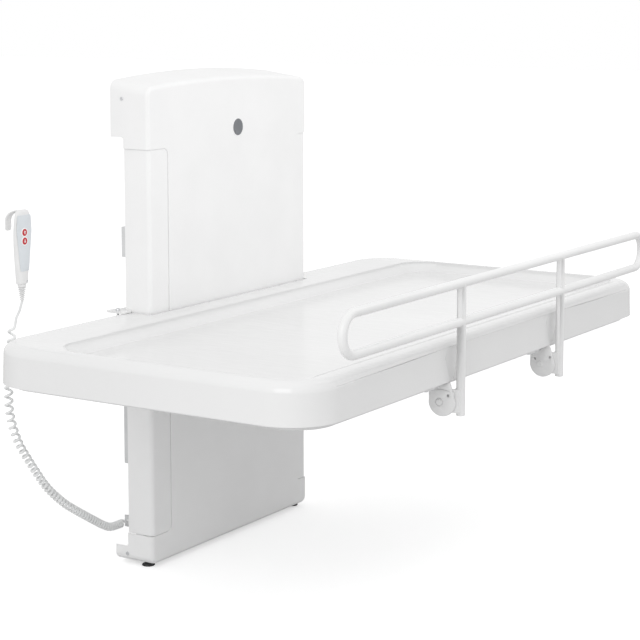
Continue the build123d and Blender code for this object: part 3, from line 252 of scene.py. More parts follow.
def grain(tree, scale, detail=2.0, stretch=(1, 1, 1)):
    """Noise in Object coordinates, which may be stretched along an axis"""
    place = tree.nodes.new("ShaderNodeTexCoord")
    turn = tree.nodes.new("ShaderNodeMapping")
    turn.inputs["Scale"].default_value = stretch
    noise = tree.nodes.new("ShaderNodeTexNoise")
    noise.inputs["Scale"].default_value = scale
    noise.inputs["Detail"].default_value = detail
    tree.links.new(place.outputs["Object"], turn.inputs["Vector"])
    tree.links.new(turn.outputs["Vector"], noise.inputs["Vector"])
    return noise.outputs["Fac"]


def uneven_gloss(tree, shader, value, low, high):
    """Roughness that wanders between two values"""
    spread = tree.nodes.new("ShaderNodeMapRange")
    spread.inputs["From Min"].default_value = 0.3
    spread.inputs["From Max"].default_value = 0.7
    spread.inputs["To Min"].default_value = low
    spread.inputs["To Max"].default_value = high
    tree.links.new(value, spread.inputs["Value"])
    tree.links.new(spread.outputs["Result"], shader.inputs["Roughness"])


def uneven_tone(tree, shader, value, darker, lighter):
    """Base colour that wanders between two near tones"""
    ramp = tree.nodes.new("ShaderNodeValToRGB")
    ramp.color_ramp.elements[0].position = 0.35
    ramp.color_ramp.elements[0].color = darker
    ramp.color_ramp.elements[1].position = 0.65
    ramp.color_ramp.elements[1].color = lighter
    tree.links.new(value, ramp.inputs["Fac"])
    tree.links.new(ramp.outputs["Color"], shader.inputs["Base Color"])


def relief(tree, shader, value, height, strength=1.0):
    """Fine bumps of a height in metres"""
    bump = tree.nodes.new("ShaderNodeBump")
    bump.inputs["Strength"].default_value = strength
    bump.inputs["Distance"].default_value = height
    tree.links.new(value, bump.inputs["Height"])
    tree.links.new(bump.outputs["Normal"], shader.inputs["Normal"])


print("whites start from", [round(x, 3) for x in paint(244, 244, 244)[:3]])

# %% [markdown]
# ### Powder coat
# The covers, the rail and the arms are coated with melted powder, which leaves soft pebbles
# about a millimetre across. The covers get a slightly brighter tone than the tube parts.

# %% White powder coats
finishes = {}


def powder_coat(name, tone, roughness):
    """Satin powder coat on sheet or tube"""
    material, tree, shader = new_finish(name, paint(tone, tone, tone), roughness)
    uneven_tone(
        tree, shader, grain(tree, 6, 3), paint(tone - 2, tone - 2, tone - 2),
        paint(tone + 1, tone + 1, tone + 1),
    )
    uneven_gloss(tree, shader, grain(tree, 40), roughness - 0.05, roughness + 0.06)
    relief(tree, shader, grain(tree, 900, 1.0), 0.00005, 0.6)
    return material


finishes["white_cover"] = powder_coat("cover_powder_coat", 246, 0.42)
finishes["white_steel"] = powder_coat("steel_powder_coat", 236, 0.34)
print("powder coats", len(finishes))

# %% [markdown]
# ### The glossy tray
# The tray is moulded with a gel coat, so it is glossy like a bath. A broad, very shallow
# waviness bends its reflections, and use has left faint fine scratches that only change the
# gloss.

# %% Gel coat
material, tree, shader = new_finish("tray_gel_coat", paint(232, 232, 232), 0.2, coat=0.15)
shader.inputs["Coat Roughness"].default_value = 0.06
uneven_tone(tree, shader, grain(tree, 3, 2), paint(230, 230, 230), paint(233, 233, 233))
uneven_gloss(tree, shader, grain(tree, 260, 3, (1, 0.05, 1)), 0.16, 0.26)
relief(tree, shader, grain(tree, 22, 1.0), 0.00012, 0.5)
finishes["tray_shell"] = material
print("tray finish", material.name)

# %% [markdown]
# ### Plastics and rubber
# The handset has a fine spark-eroded grain, the glide blocks and the drive are plain moulded
# plastic, and the feet and pads are rubber with a dusty bloom.

# %% Plastics and rubber


def moulded(name, colour, roughness, pebble, height):
    """Moulded plastic or rubber with a fine grain"""
    material, tree, shader = new_finish(name, colour, roughness)
    darker = [value * 0.93 for value in colour[:3]]
    uneven_tone(tree, shader, grain(tree, 12, 3), (*darker, 1.0), colour)
    uneven_gloss(tree, shader, grain(tree, 60), roughness - 0.04, roughness + 0.08)
    relief(tree, shader, grain(tree, pebble, 1.5), height, 0.7)
    return material


finishes["white_plastic"] = moulded("handset_plastic", paint(236, 236, 236), 0.4, 2200, 0.00003)
finishes["keypad_grey"] = moulded("keypad_foil", paint(221, 226, 230), 0.34, 1500, 0.00002)
finishes["button_red"] = moulded("button_foil", paint(196, 34, 46), 0.3, 1500, 0.00002)
finishes["cord_white"] = moulded("cord_jacket", paint(237, 238, 238), 0.3, 700, 0.00004)
finishes["glide_grey"] = moulded("glide_plastic", paint(224, 225, 226), 0.45, 1200, 0.00004)
finishes["drive_grey"] = moulded("drive_housing", paint(96, 98, 102), 0.5, 900, 0.00006)
finishes["badge_grey"] = moulded("badge_plastic", paint(120, 123, 127), 0.3, 1200, 0.00002)
finishes["black_rubber"] = moulded("black_rubber", paint(54, 54, 55), 0.72, 700, 0.0001)
print("finishes so far", sorted(finishes))

# %% [markdown]
# ### Bare and primed steel
# Screws, washers, pins and guide rails are bright steel with fine lines from rolling and
# turning, and the frame inside the covers is primed grey.

# %% Steel
material, tree, shader = new_finish("bright_steel", paint(214, 215, 217), 0.3, metallic=1.0)
lines = grain(tree, 90, 3, (0.05, 1, 12))
uneven_tone(tree, shader, grain(tree, 30), paint(206, 207, 209), paint(224, 225, 227))
uneven_gloss(tree, shader, lines, 0.24, 0.42)
relief(tree, shader, lines, 0.00002, 0.5)
finishes["bright_steel"] = material
finishes["steel_frame"] = moulded("primed_steel", paint(214, 215, 216), 0.5, 600, 0.00005)

for name, node in frame["nodes"].items():
    node.data.materials.clear()
    node.data.materials.append(finishes[slot_of[name]])
wire.data.materials.append(finishes["cord_white"])
print("materials on", len(frame["nodes"]), "solids")

# %% [markdown]
# ## Softened copies of the solids
# A measured solid comes as loose triangles with knife-sharp edges. No real edge is that sharp,
# and a thin line of light along each edge is what makes a picture look real. So a copy of the
# solid is merged, its flat triangles are joined, and its sharp edges get a small bevel. The
# copy takes the solid's place and rides on the same body.

# %% Helpers for copies


def body_of(node):
    """The body that a solid rides on"""
    for body, members in frame["record"]["behaviour"]["bodies"].items():
        if node in members:
            return body
    return "root"


def placed(name, form, body, slot, smooth=35):
    """Turns a finished bmesh into a piece on a body, with a slot's finish"""
    mesh = bpy.data.meshes.new(name)
    form.to_mesh(mesh)
    form.free()
    mesh.shade_smooth()
    mesh.set_sharp_from_angle(angle=radians(smooth))
    mesh.materials.append(finishes[slot])
    piece = bpy.data.objects.new(name, mesh)
    bpy.context.scene.collection.objects.link(piece)
    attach(piece, body)
    return piece


def merged(node):
    """A copy of a solid with its corners joined and its flat faces whole"""
    form = bmesh.new()
    form.from_mesh(frame["nodes"][node].data)
    bmesh.ops.remove_doubles(form, verts=form.verts, dist=0.000004)
    bmesh.ops.dissolve_limit(
        form, angle_limit=radians(0.3), verts=form.verts, edges=form.edges,
        use_dissolve_boundaries=False,
    )
    return form


def only(items, kind):
    """The corners, edges or faces among what an operator gives back"""
    return [item for item in items if isinstance(item, kind)]


def edges_over(form, degrees):
    """Edges between two faces that meet at more than an angle"""
    return [
        edge for edge in form.edges
        if len(edge.link_faces) == 2 and edge.calc_face_angle() > radians(degrees)
    ]


def eased(form, parts, width, segments=2, affect="EDGES"):
    """Bevels edges, or the corners of a flat face, into a small round"""
    bmesh.ops.bevel(
        form, geom=parts, offset=width, offset_type="OFFSET", segments=segments, profile=0.5,
        affect=affect, clamp_overlap=True, material=-1,
    )


def even_shading(piece):
    """Lets the large faces rule the shading, so that a bevel leaves no shadow on them"""
    shine = piece.modifiers.new("even_shading", "WEIGHTED_NORMAL")
    shine.keep_sharp = True


def softened(name, node, width):
    """A copy of a solid whose sharp edges are bevelled"""
    form = merged(node)
    if width:
        eased(form, edges_over(form, 40), width)
    piece = placed(name, form, body_of(node), slot_of[node])
    even_shading(piece)
    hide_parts(node)
    return piece


# %% [markdown]
# ### The solids that are copied
# The list gives each copy's name, its solid and the width of its bevel. A width of nought is for
# thin sheets and for solids that have their rounds already.

# %% Copies of the visible solids
copies = [
    ("front_cover_sheet", "front_cover", 0),
    ("left_cover_sheet", "left_side_cover", 0), ("right_cover_sheet", "right_side_cover", 0),
    ("left_arm_tube", "left_arm", 0.001), ("right_arm_tube", "right_arm", 0.001),
    ("underframe_band", "underframe", 0), ("beam_tube", "basin_beam", 0.001),
    ("rubber_pads", "tray_pads", 0.001), ("retaining_hooks", "retaining_plates", 0.0006),
    ("left_leaf", "left_hinge_leaf", 0), ("right_leaf", "right_hinge_leaf", 0),
    ("rail_tubes", "rail_frame", 0), ("upper_glides", "upper_glide_blocks", 0.001),
    ("lower_glides", "lower_glide_blocks", 0.001), ("cable_bracket", "cord_bracket", 0.0004),
]
for name, node, width in copies:
    piece = softened(name, node, width)
    print(name, "faces", len(piece.data.polygons))

# %% [markdown]
# ### Room beside the lower glides
# At the lowest place of the lift the lower glide blocks stand beside the bracket of the cord,
# and there the measured solids share a face. The outer faces of the blocks are drawn in by half
# a millimetre, so that they pass the bracket without touching it.

# %% Outer faces of the lower glides
glide_face = 0.334
glide_room = 0.0005
for vert in bpy.data.objects["lower_glides"].data.vertices:
    if abs(vert.co.x) > glide_face - glide_room:
        vert.co.x -= glide_room if vert.co.x > 0 else -glide_room
print("room between the lower glides and the cord's bracket", glide_room)

# %% [markdown]
# ### Seals behind the seams
# A thin seal closes the gap between each side cover and the front cover, so the seams look
# shallow. Each seal is the side cover again, set a millimetre inwards and drawn out a little in
# height, so that it also closes the gaps at the caps.

# %% Seals
seal_depth = 0.0011
seal_growth = 0.0032
seals = [(1, "left_side_cover", "left_seal"), (-1, "right_side_cover", "right_seal")]
for side, node, name in seals:
    form = merged(node)
    heights = [vert.co.z for vert in form.verts]
    middle_height = (max(heights) + min(heights)) / 2
    grow = 1 + seal_growth / (max(heights) - min(heights))
    for vert in form.verts:
        vert.co.z = middle_height + (vert.co.z - middle_height) * grow
    bmesh.ops.translate(form, verts=form.verts, vec=(side * seal_depth, seal_depth, 0))
    placed(name, form, "column", "white_cover")
print("seals", len(seals))

# %% [markdown]
# ## The tray
# The tray is one moulded shell with a basin, a rounded rim and two pockets in its front, where
# the posts of the rail stand. The measured solid has plain shallow pockets. In the copy their
# corners are moved: each pocket is narrow at its foot, wide and round at its head, and its floor
# slopes out to the skirt as it rises. The edges are eased by about a millimetre, because a
# moulded edge is never sharp.

# %% Corners of the pockets
skirt_low = -0.049
skirt_slope = tan(radians(2))
post_xs = (-0.263, 0.287)
pocket_zone = 0.0546
behind_pocket = -0.9415
above_pocket = 0.0297
solid_pocket_height = 0.074
pocket_height = 0.083
foot_width_share = 0.30
widening_share = 0.46
widening_height = 0.060
floor_depth = -0.9465
floor_width_share = 0.80
floor_height_share = 0.90
floor_slope_out = 0.0042
floor_slope_height = 0.075

form = merged("tray")
pocket_ring = []
for vert in form.verts:
    for post in post_xs:
        across = vert.co.x - post
        if abs(across) >= pocket_zone or vert.co.y > behind_pocket or vert.co.z >= above_pocket:
            continue
        raised = skirt_low + (vert.co.z - skirt_low) * pocket_height / solid_pocket_height
        widen = foot_width_share + widening_share * min((raised - skirt_low) / widening_height, 1)
        if vert.co.y > floor_depth:
            widen *= floor_width_share
            raised = skirt_low + (raised - skirt_low) * floor_height_share
            rise_share = max((raised - skirt_low) / floor_slope_height, 0)
            vert.co.y = floor_depth - floor_slope_out * rise_share ** 2
        else:
            vert.co.y += (raised - vert.co.z) * skirt_slope
        pocket_ring.append(vert)
        vert.co.x = post + across * widen
        vert.co.z = raised
print("corners moved", len(pocket_ring))

# %% Eased pockets
pocket_ease = 0.0011
foot_margin = 0.001
mouth_depth_step = 0.004
edges = {
    edge for vert in pocket_ring for edge in vert.link_edges
    if edge.other_vert(vert) in pocket_ring and len(edge.link_faces) == 2
    and edge.calc_face_angle() > radians(20)
    and max(end.co.z for end in edge.verts) > skirt_low + foot_margin
    and abs(edge.verts[0].co.y - edge.verts[1].co.y) < mouth_depth_step
}
eased(form, list(edges), pocket_ease)
tray = placed("tray_shell", form, "lift", "tray_shell")
even_shading(tray)
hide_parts("tray")
print("pocket edges", len(edges), "tray faces", len(tray.data.polygons))

# %% [markdown]
# ## Turned pieces
# Screws, bolts, feet, caps and cable boots are all turned on a lathe or moulded round. So one
# helper draws half of a section as a chain of corners, each a radius and a height, and spins it
# once round its axis. The piece is then turned so that its axis points the right way.

# %% Helper for turned pieces


def lathe(form, section, place, axis=(0, 0, 1), steps=32):
    """Adds a chain of radii and heights, spun round an axis through a place"""
    if section[-1][0] > 0:
        section = section + [section[0] if section[0][0] > 0 else (0, section[-1][1])]
    turned = bmesh.new()
    corners = [turned.verts.new((radius, 0, height)) for radius, height in section]
    chain = [turned.edges.new(pair) for pair in zip(corners, corners[1:])]
    bmesh.ops.spin(
        turned, geom=corners + chain, cent=(0, 0, 0), axis=(0, 0, 1), angle=2 * pi,
        steps=steps, use_merge=True,
    )
    bmesh.ops.remove_doubles(turned, verts=turned.verts, dist=0.0000005)
    bmesh.ops.recalc_face_normals(turned, faces=turned.faces)
    turn = Vector((0, 0, 1)).rotation_difference(Vector(axis)).to_matrix().to_4x4()
    turned.transform(Matrix.Translation(place) @ turn)
    mesh = bpy.data.meshes.new("turned")
    turned.to_mesh(mesh)
    turned.free()
    form.from_mesh(mesh)
    bpy.data.meshes.remove(mesh)


def rounded(radius, height, ease, steps=4):
    """Section of a round head: flat top, eased rim and straight side"""
    section = [(0, height)]
    for number in range(steps + 1):
        angle = pi / 2 * (1 - number / steps)
        section.append((radius - ease + ease * cos(angle), height - ease + ease * sin(angle)))
    return section + [(radius, 0)]


def socket_head(form, place, axis, radius, height, socket, depth):
    """Round screw head with a round socket"""
    rim = socket + 0.0004
    section = [(0, height - depth), (socket, height - depth), (socket, height - 0.0002)]
    section += [(rim, height)] + rounded(radius, height, height * 0.45)[1:]
    lathe(form, section, place, axis, steps=36)


# %% [markdown]
# ### Screws of the covers and of the retaining plates
# Each side of both caps is held by a small screw with a low head and a round socket, and the two
# plates behind the tray by a taller screw each. Heads and shanks are turned shapes that meet.

# %% Screws
cap_screw_x = 0.371
cap_screw_y = -0.039
cap_screw_heights = (0.604, -0.600)
cap_shank = [(0, -0.009), (0.002, -0.009), (0.0025, -0.008), (0.0025, 0)]
form = bmesh.new()
for side in (-1, 1):
    for height in cap_screw_heights:
        place = (side * cap_screw_x, cap_screw_y, height)
        socket_head(form, place, (side, 0, 0), 0.005, 0.0024, 0.0016, 0.0008)
        lathe(form, cap_shank, place, (side, 0, 0), steps=16)
screws = placed("cap_screw_heads", form, "column", "bright_steel")
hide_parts("cap_screws")
print("cap screw faces", len(screws.data.polygons))

tray_screw_x = 0.390
tray_screw_y = -0.032
tray_screw_seat = 0.0535
tray_shank = [(0, -0.0475), (0.0025, -0.0475), (0.003, -0.0465), (0.003, 0)]
form = bmesh.new()
for side in (-1, 1):
    place = (side * tray_screw_x, tray_screw_y, tray_screw_seat)
    socket_head(form, place, (0, 0, 1), 0.006, 0.0070, 0.0020, 0.0012)
    lathe(form, tray_shank, place, steps=20)
screws = placed("tray_screws", form, "lift", "bright_steel")
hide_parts("retaining_screws")
print("tray screw faces", len(screws.data.polygons))

# %% [markdown]
# ### Badge
# The cover carries a round dark disc in a thin white ring: a shallow dish, and round it a ring
# with an eased rim.

# %% Badge
badge_place = (0.027, -0.123, 0.511)
disc_section = [(0, 0.0009), (0.018, 0.0010), (0.0222, 0.0014), (0.0228, 0.0012), (0.0228, 0)]
ring_section = [
    (0.0229, 0), (0.0229, 0.0013), (0.0233, 0.0015), (0.0244, 0.0015), (0.025, 0.0009), (0.025, 0),
]
form = bmesh.new()
lathe(form, disc_section, badge_place, (0, -1, 0), steps=64)
disc = placed("badge_disc", form, "column", "badge_grey")
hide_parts("front_badge")
form = bmesh.new()
lathe(form, ring_section, badge_place, (0, -1, 0), steps=64)
ring = placed("badge_ring", form, "column", "white_cover")
print("badge faces", len(disc.data.polygons) + len(ring.data.polygons))

# %% [markdown]
# ### Levelling feet
# A foot is a rubber pad under a threaded stem. The thread is drawn as a chain of small ridges,
# which from a step away looks like a real helix, and the pad has a broad eased rim.

# %% Feet
foot_x = 0.345
foot_y = -0.088
pad_section = [
    (0, 0), (0.0165, 0), (0.0172, 0.0006), (0.0172, 0.0024), (0.0162, 0.0038), (0.010, 0.0070),
    (0.008, 0.008), (0, 0.008),
]
core_radius = 0.0042
thread_radius = 0.005
thread_start = 0.0085
thread_pitch = 0.0016
stem_top = 0.0438
thread = [(0, 0.0079), (0.0046, 0.0079)]
for ridge in range(22):
    low = thread_start + ridge * thread_pitch
    thread += [
        (core_radius, low), (thread_radius, low + 0.0004),
        (thread_radius, low + 0.0006), (core_radius, low + 0.001),
    ]
thread += [(core_radius, stem_top), (0, stem_top)]

for side, name in ((-1, "left_foot"), (1, "right_foot")):
    place = (side * foot_x, foot_y, floor_level)
    form = bmesh.new()
    lathe(form, pad_section, place, steps=40)
    pad = placed(name + "_pad", form, name, "black_rubber")
    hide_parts(name)
    form = bmesh.new()
    lathe(form, thread, place, steps=20)
    stem = placed(name + "_stem", form, name, "bright_steel")
    print(name, "faces", len(pad.data.polygons) + len(stem.data.polygons))

# %% [markdown]
# ### Gland and boot of the cord
# Where the cord meets the column it goes through a small gland, and below the handset through
# a boot that bends with it. The boot narrows in seven thin rings, so that it stiffens the cord
# step by step.

# %% Gland
gland_seat = (-0.337, -0.0213, -0.524)
form = bmesh.new()
lathe(
    form, [(0.0031, 0), (0.008, 0), (0.008, 0.0048), (0.0073, 0.006), (0.0062, 0.006),
           (0.0060, 0.0072), (0.0052, 0.0076), (0.0056, 0.0088), (0.0048, 0.0092),
           (0.0051, 0.0104), (0.0044, 0.0110), (0.0045, 0.0120), (0.0031, 0.0120)],
    gland_seat, (-1, 0, 0), steps=32,
)
gland = placed("gland_body", form, "column", "white_plastic")
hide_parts("cord_gland")
print("gland faces", len(gland.data.polygons))

# %% Boot
boot_top = Vector((-0.772, -0.045, 0.176))
boot_rings = 7
first_ring = 0.0076
ring_pitch = 0.0048
upper_ring_radius = 0.0098
lower_ring_radius = 0.0052
groove_depth = 0.0034
least_core = 0.0033
section = [(0.0028, 0), (0.0103, 0), (0.0104, 0.0050), (0.0098, 0.0066), (0.0088, 0.0072)]
for ring in range(boot_rings):
    share = ring / boot_rings
    low = first_ring + ring * ring_pitch
    wide = upper_ring_radius * (1 - share) + lower_ring_radius * share
    core = max(wide - groove_depth, least_core)
    section += [(core, low), (wide, low + 0.0005), (wide - 0.0001, low + 0.0024)]
    section += [(core, low + 0.0030)]
section += [(0.0038, 0.0412), (0.0036, 0.0419), (0.0028, 0.0419)]
form = bmesh.new()
lathe(form, section, boot_top, (0, 0, -1), steps=32)
boot = placed("cord_boot", form, "lift", "white_plastic")
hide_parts("handset_strain_relief")
print("boot faces", len(boot.data.polygons))

# %% [markdown]
# ## Hinges of the rail
# Each fixed hinge plate is a rounded steel sheet that hangs from the frame under the tray and
# carries the pivot bolt. Its edge starts as a circle, and the upper half is drawn out to a neck.
# The holes are circles inside it: one fill makes a face between all these loops, and an
# extrusion gives the sheet its thickness.

# %% Helpers for sheet pieces
pivot_depth = 0.930
pivot_level = -0.100


def ring_of_points(form, radius, centre, segments):
    """A circle of edges in the plane across X, with its corners"""
    made = bmesh.ops.create_circle(form, cap_ends=False, radius=radius, segments=segments)
    turn = Matrix.Translation((0, *centre)) @ Matrix.Rotation(pi / 2, 4, "Y")
    bmesh.ops.transform(form, matrix=turn, verts=made["verts"])
    return made["verts"]


def sheet_across_x(name, shape, holes, start, end, ease, body, slot):
    """A flat piece across X with holes, from an outline that a function draws out"""
    form = bmesh.new()
    shape(form)
    for centre, radius in holes:
        ring_of_points(form, radius, centre, 20)
    filled = bmesh.ops.triangle_fill(form, use_beauty=True, edges=form.edges)
    made = bmesh.ops.extrude_face_region(form, geom=only(filled["geom"], BMFace))
    bmesh.ops.translate(form, verts=only(made["geom"], BMVert), vec=(end - start, 0, 0))
    bmesh.ops.translate(form, verts=form.verts, vec=(start, 0, 0))
    bmesh.ops.recalc_face_normals(form, faces=form.faces)
    bmesh.ops.dissolve_limit(
        form, angle_limit=radians(1), verts=form.verts, edges=form.edges,
        use_dissolve_boundaries=False,
    )
    eased(form, edges_over(form, 60), ease)
    return placed(name, form, body, slot)


# %% Hinge plates
disc_centre = (-0.9355, -0.099)
disc_radius = 0.0355
disc_corners = 72
neck_back = 0.0335
neck_front = 0.0215
neck_top_back = -0.0622
neck_top_front = -0.0505


def necked(form):
    """Outline of a hinge plate: a disc whose upper half is drawn out to a neck"""
    for vert in ring_of_points(form, disc_radius, disc_centre, disc_corners):
        across = vert.co.y - disc_centre[0]
        rise = vert.co.z - disc_centre[1]
        if rise <= 0:
            continue
        half = neck_front if across < 0 else neck_back
        height = (neck_top_front if across < 0 else neck_top_back) - disc_centre[1]
        stretch = min(height / rise, 1.0 / max(abs(across) / disc_radius, 0.01))
        share = min(rise * stretch / height, 1)
        reach = disc_radius * (1 - share) + half * share
        outwards = min(abs(across) * stretch / disc_radius, 1)
        vert.co.y = disc_centre[0] + (reach if across > 0 else -reach) * outwards
        vert.co.z = disc_centre[1] + min(rise * stretch, height)


near_lock = (-0.9537, -0.082)
far_holes = [((-0.915, -0.0874), 0.0034), ((-0.958, -0.0806), 0.0036)]
bolt_hole = ((-pivot_depth, pivot_level), 0.0051)
left_plate_inner = -0.2815
right_plate_inner = 0.2685
plate = sheet_across_x(
    "left_hinge_plate", necked, [(near_lock, 0.004), bolt_hole], -0.2875, left_plate_inner,
    0.0006, "lift", "white_steel",
)
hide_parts("left_rail_bracket")
plate = sheet_across_x(
    "right_hinge_plate", necked, far_holes + [bolt_hole], 0.2625, right_plate_inner,
    0.0006, "lift", "white_steel",
)
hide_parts("right_rail_bracket")
print("faces of the right plate", len(plate.data.polygons))

# %% [markdown]
# ### Raised plate and strip
# On the outside of the left hinge plate lies a thinner raised plate with an arched top, and a
# strip above it leaves a narrow groove between the two. Both outlines start as circles again.

# %% Raised plate and strip
raised_radius = 0.0350
raised_side = 0.0345
raised_top = 0.0300
side_lean = 0.04
arch_middle = 0.002
arch_fall = 6
strip_foot = 0.0325
strip_top = 0.0425
strip_fall = 0.22
strip_front_share = 0.63
strip_back_share = 0.94


def arched(form):
    """Outline of the raised plate: a disc with a squared upper front corner"""
    for vert in ring_of_points(form, raised_radius, disc_centre, disc_corners):
        across = vert.co.y - disc_centre[0]
        rise = vert.co.z - disc_centre[1]
        if rise > 0:
            stretch = min(0.033 / rise, raised_radius / max(abs(across), 0.0001), 1.42)
            front_side = -raised_side + rise * side_lean
            vert.co.y = disc_centre[0] + max(min(across * stretch, raised_side), front_side)
            vert.co.z = disc_centre[1] + min(rise * stretch, raised_top)
        ceiling = raised_top - (across - arch_middle) ** 2 * arch_fall
        if vert.co.z - disc_centre[1] > ceiling:
            vert.co.z = disc_centre[1] + ceiling


def collar(form):
    """Outline of the strip above the raised plate, with a narrow groove between the two"""
    for vert in ring_of_points(form, disc_radius, disc_centre, disc_corners):
        across = vert.co.y - disc_centre[0]
        reach = across * (strip_front_share if across < 0 else strip_back_share)
        level = strip_top - reach * strip_fall
        if vert.co.z < disc_centre[1]:
            level = strip_foot - (reach - arch_middle) ** 2 * arch_fall
        vert.co.y = disc_centre[0] + reach
        vert.co.z = disc_centre[1] + level


sheet_across_x(
    "left_raised_plate", arched, [(near_lock, 0.0036), (bolt_hole[0], 0.0102)],
    -0.2900, -0.2874, 0.0008, "lift", "white_steel",
)
strip = sheet_across_x(
    "left_plate_collar", collar, [], -0.2896, -0.2874, 0.0004, "lift", "white_steel",
)
print("strip faces", len(strip.data.polygons))

# %% [markdown]
# ### Flanges of the hinges
# At the top of each hinge plate a flange lies flat under the frame and takes two bolts. Its
# upright edges are rounded first, and then every edge is eased.

# %% Flanges
flange_size = (0.058, 0.021, 0.0036)
flange_depth = -0.9165
flange_level = -0.0638
for plate_inner, name in ((left_plate_inner, "left"), (right_plate_inner, "right")):
    flange_middle = (plate_inner - flange_size[0] / 2, flange_depth, flange_level)
    form = bmesh.new()
    bmesh.ops.create_cube(form, size=1)
    bmesh.ops.scale(form, verts=form.verts, vec=flange_size)
    bmesh.ops.translate(form, verts=form.verts, vec=flange_middle)
    upright = [
        edge for edge in form.edges
        if abs(edge.verts[0].co.z - edge.verts[1].co.z) > flange_size[2] / 2
    ]
    eased(form, upright, 0.006, 6)
    eased(form, form.edges, 0.0006, 1)
    flange = placed(name + "_hinge_flange", form, "lift", "white_steel")
    print(name, "flange faces", len(flange.data.polygons))

# %% [markdown]
# ### Bolts of the hinges
# The pivot bolt has a low painted dome outside and a six-sided nut inside. The nut is the same
# turned shape with six steps, and its corners are eased. The flange bolts have plain hexagonal
# heads on washers.

# %% Pivot bolts
dome = [(0, 0.0044), (0.0030, 0.0045), (0.0054, 0.0050), (0.0064, 0.0046), (0.0069, 0.0036),
        (0.0070, 0.0010), (0.0084, 0.0006), (0.0086, 0.0002), (0.0086, -0.0025)]
nut = [(0, 0.0045), (0.0046, 0.0045), (0.0046, 0.0042), (0.0072, 0.0042), (0.0086, 0.0034),
       (0.0086, 0)]
form = bmesh.new()
for face, inner in ((-0.290, -0.2745), (0.2625, 0.2755)):
    place = (face, -pivot_depth, pivot_level)
    shank = [(0, -0.0001), (0.005, -0.0001), (0.005, inner - face), (0, inner - face)]
    lathe(form, dome, place, (-1, 0, 0), steps=40)
    lathe(form, shank, place, (1, 0, 0), steps=24)
    lathe(form, nut, (inner, -pivot_depth, pivot_level), (1, 0, 0), steps=6)
bolts = placed("pivot_bolt_set", form, "lift", "white_steel")
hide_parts("rail_pivot_bolts")
print("pivot bolt faces", len(bolts.data.polygons))

# %% Flange bolts
washer = [(0, 0.0009), (0.0072, 0.0009), (0.0074, 0.0007), (0.0074, 0)]
head = [(0, 0.0040), (0.0046, 0.0040), (0.0062, 0.0034), (0.0062, 0.0008)]
form = bmesh.new()
for x in (-0.3315, -0.3015, 0.2185, 0.2485):
    place = (x, -0.917, -0.0656)
    lathe(form, washer, place, (0, 0, -1))
    lathe(form, head, place, (0, 0, -1), steps=6)
bolts = placed("flange_bolt_set", form, "lift", "bright_steel")
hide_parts("bracket_bolts")
print("flange bolt faces", len(bolts.data.polygons))

# %% [markdown]
# ## The handset
# The handset is a slim two-part shell, widest at the buttons, with a narrow tail. A ring of
# points is extruded from station to station along its length, and each station has its own
# width and depth. The shell is then cut along the seam into two halves with eased rims.

# %% Shells
handset_x = -0.772
seam = -0.0480
squareness = 0.55
ring_corners = 48
level_tolerance = 0.00001
stations = [
    (0.1760, 0.0118, -0.0530, -0.0380), (0.1765, 0.0132, -0.0546, -0.0362),
    (0.1780, 0.0141, -0.0556, -0.0350), (0.1820, 0.0145, -0.0560, -0.0347),
    (0.2000, 0.0166, -0.0560, -0.0352), (0.2250, 0.0201, -0.0560, -0.0364),
    (0.2500, 0.0236, -0.0560, -0.0380), (0.2750, 0.0265, -0.0560, -0.0399),
    (0.2950, 0.0279, -0.0560, -0.0414), (0.3100, 0.0280, -0.0560, -0.0425),
    (0.3250, 0.0270, -0.0560, -0.0434), (0.3380, 0.0252, -0.0560, -0.0440),
    (0.3465, 0.0234, -0.0559, -0.0442), (0.3520, 0.0208, -0.0553, -0.0444),
    (0.3550, 0.0174, -0.0543, -0.0450), (0.3566, 0.0122, -0.0530, -0.0460),
]


def shaped(verts, mark, station):
    """Gives a ring of points the outline of a station: a soft rectangle"""
    height, half, front, back = station
    for vert in verts:
        along, across = cos(vert[mark]), sin(vert[mark])
        side = 1 if along > 0 else -1
        face = 1 if across > 0 else -1
        vert.co = (
            handset_x + half * abs(along) ** squareness * side,
            (front + back) / 2 + (back - front) / 2 * abs(across) ** squareness * face,
            height,
        )


def handset_body(form):
    """Closed shell of the whole handset"""
    bmesh.ops.create_circle(form, cap_ends=True, radius=stations[0][1], segments=ring_corners)
    mark = form.verts.layers.float.new("angle")
    for number, vert in enumerate(form.verts):
        vert[mark] = 2 * pi * (number + 0.5) / ring_corners
    shaped(form.verts, mark, stations[0])
    ring = list(form.edges)
    for station in stations[1:]:
        made = bmesh.ops.extrude_edge_only(form, edges=ring)
        shaped(only(made["geom"], BMVert), mark, station)
        ring = [
            edge for edge in only(made["geom"], BMEdge)
            if all(abs(end.co.z - station[0]) < level_tolerance for end in edge.verts)
        ]
    bmesh.ops.edgeloop_fill(form, edges=ring)
    bmesh.ops.recalc_face_normals(form, faces=form.faces)


for name, node, is_front in (
    ("handset_face", "handset_front_shell", True), ("handset_rear", "handset_back_shell", False),
):
    form = bmesh.new()
    handset_body(form)
    cut = bmesh.ops.bisect_plane(
        form, geom=[*form.verts, *form.edges, *form.faces], plane_co=(0, seam, 0),
        plane_no=(0, 1, 0), clear_inner=not is_front, clear_outer=is_front,
    )
    rim = only(cut["geom_cut"], BMEdge)
    bmesh.ops.edgeloop_fill(form, edges=rim)
    eased(form, rim, 0.0005)
    bmesh.ops.recalc_face_normals(form, faces=form.faces)
    shell = placed(name, form, "lift", "white_plastic")
    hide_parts(node)
    print(name, "faces", len(shell.data.polygons))

# %% [markdown]
# ### Hook
# The handset hangs by a strap that bends back over its head like a shepherd's crook. A
# rectangle is spun through a quarter turn, the bend is stretched backwards, its end face is
# drawn straight down, and the corners of the tip are rounded.

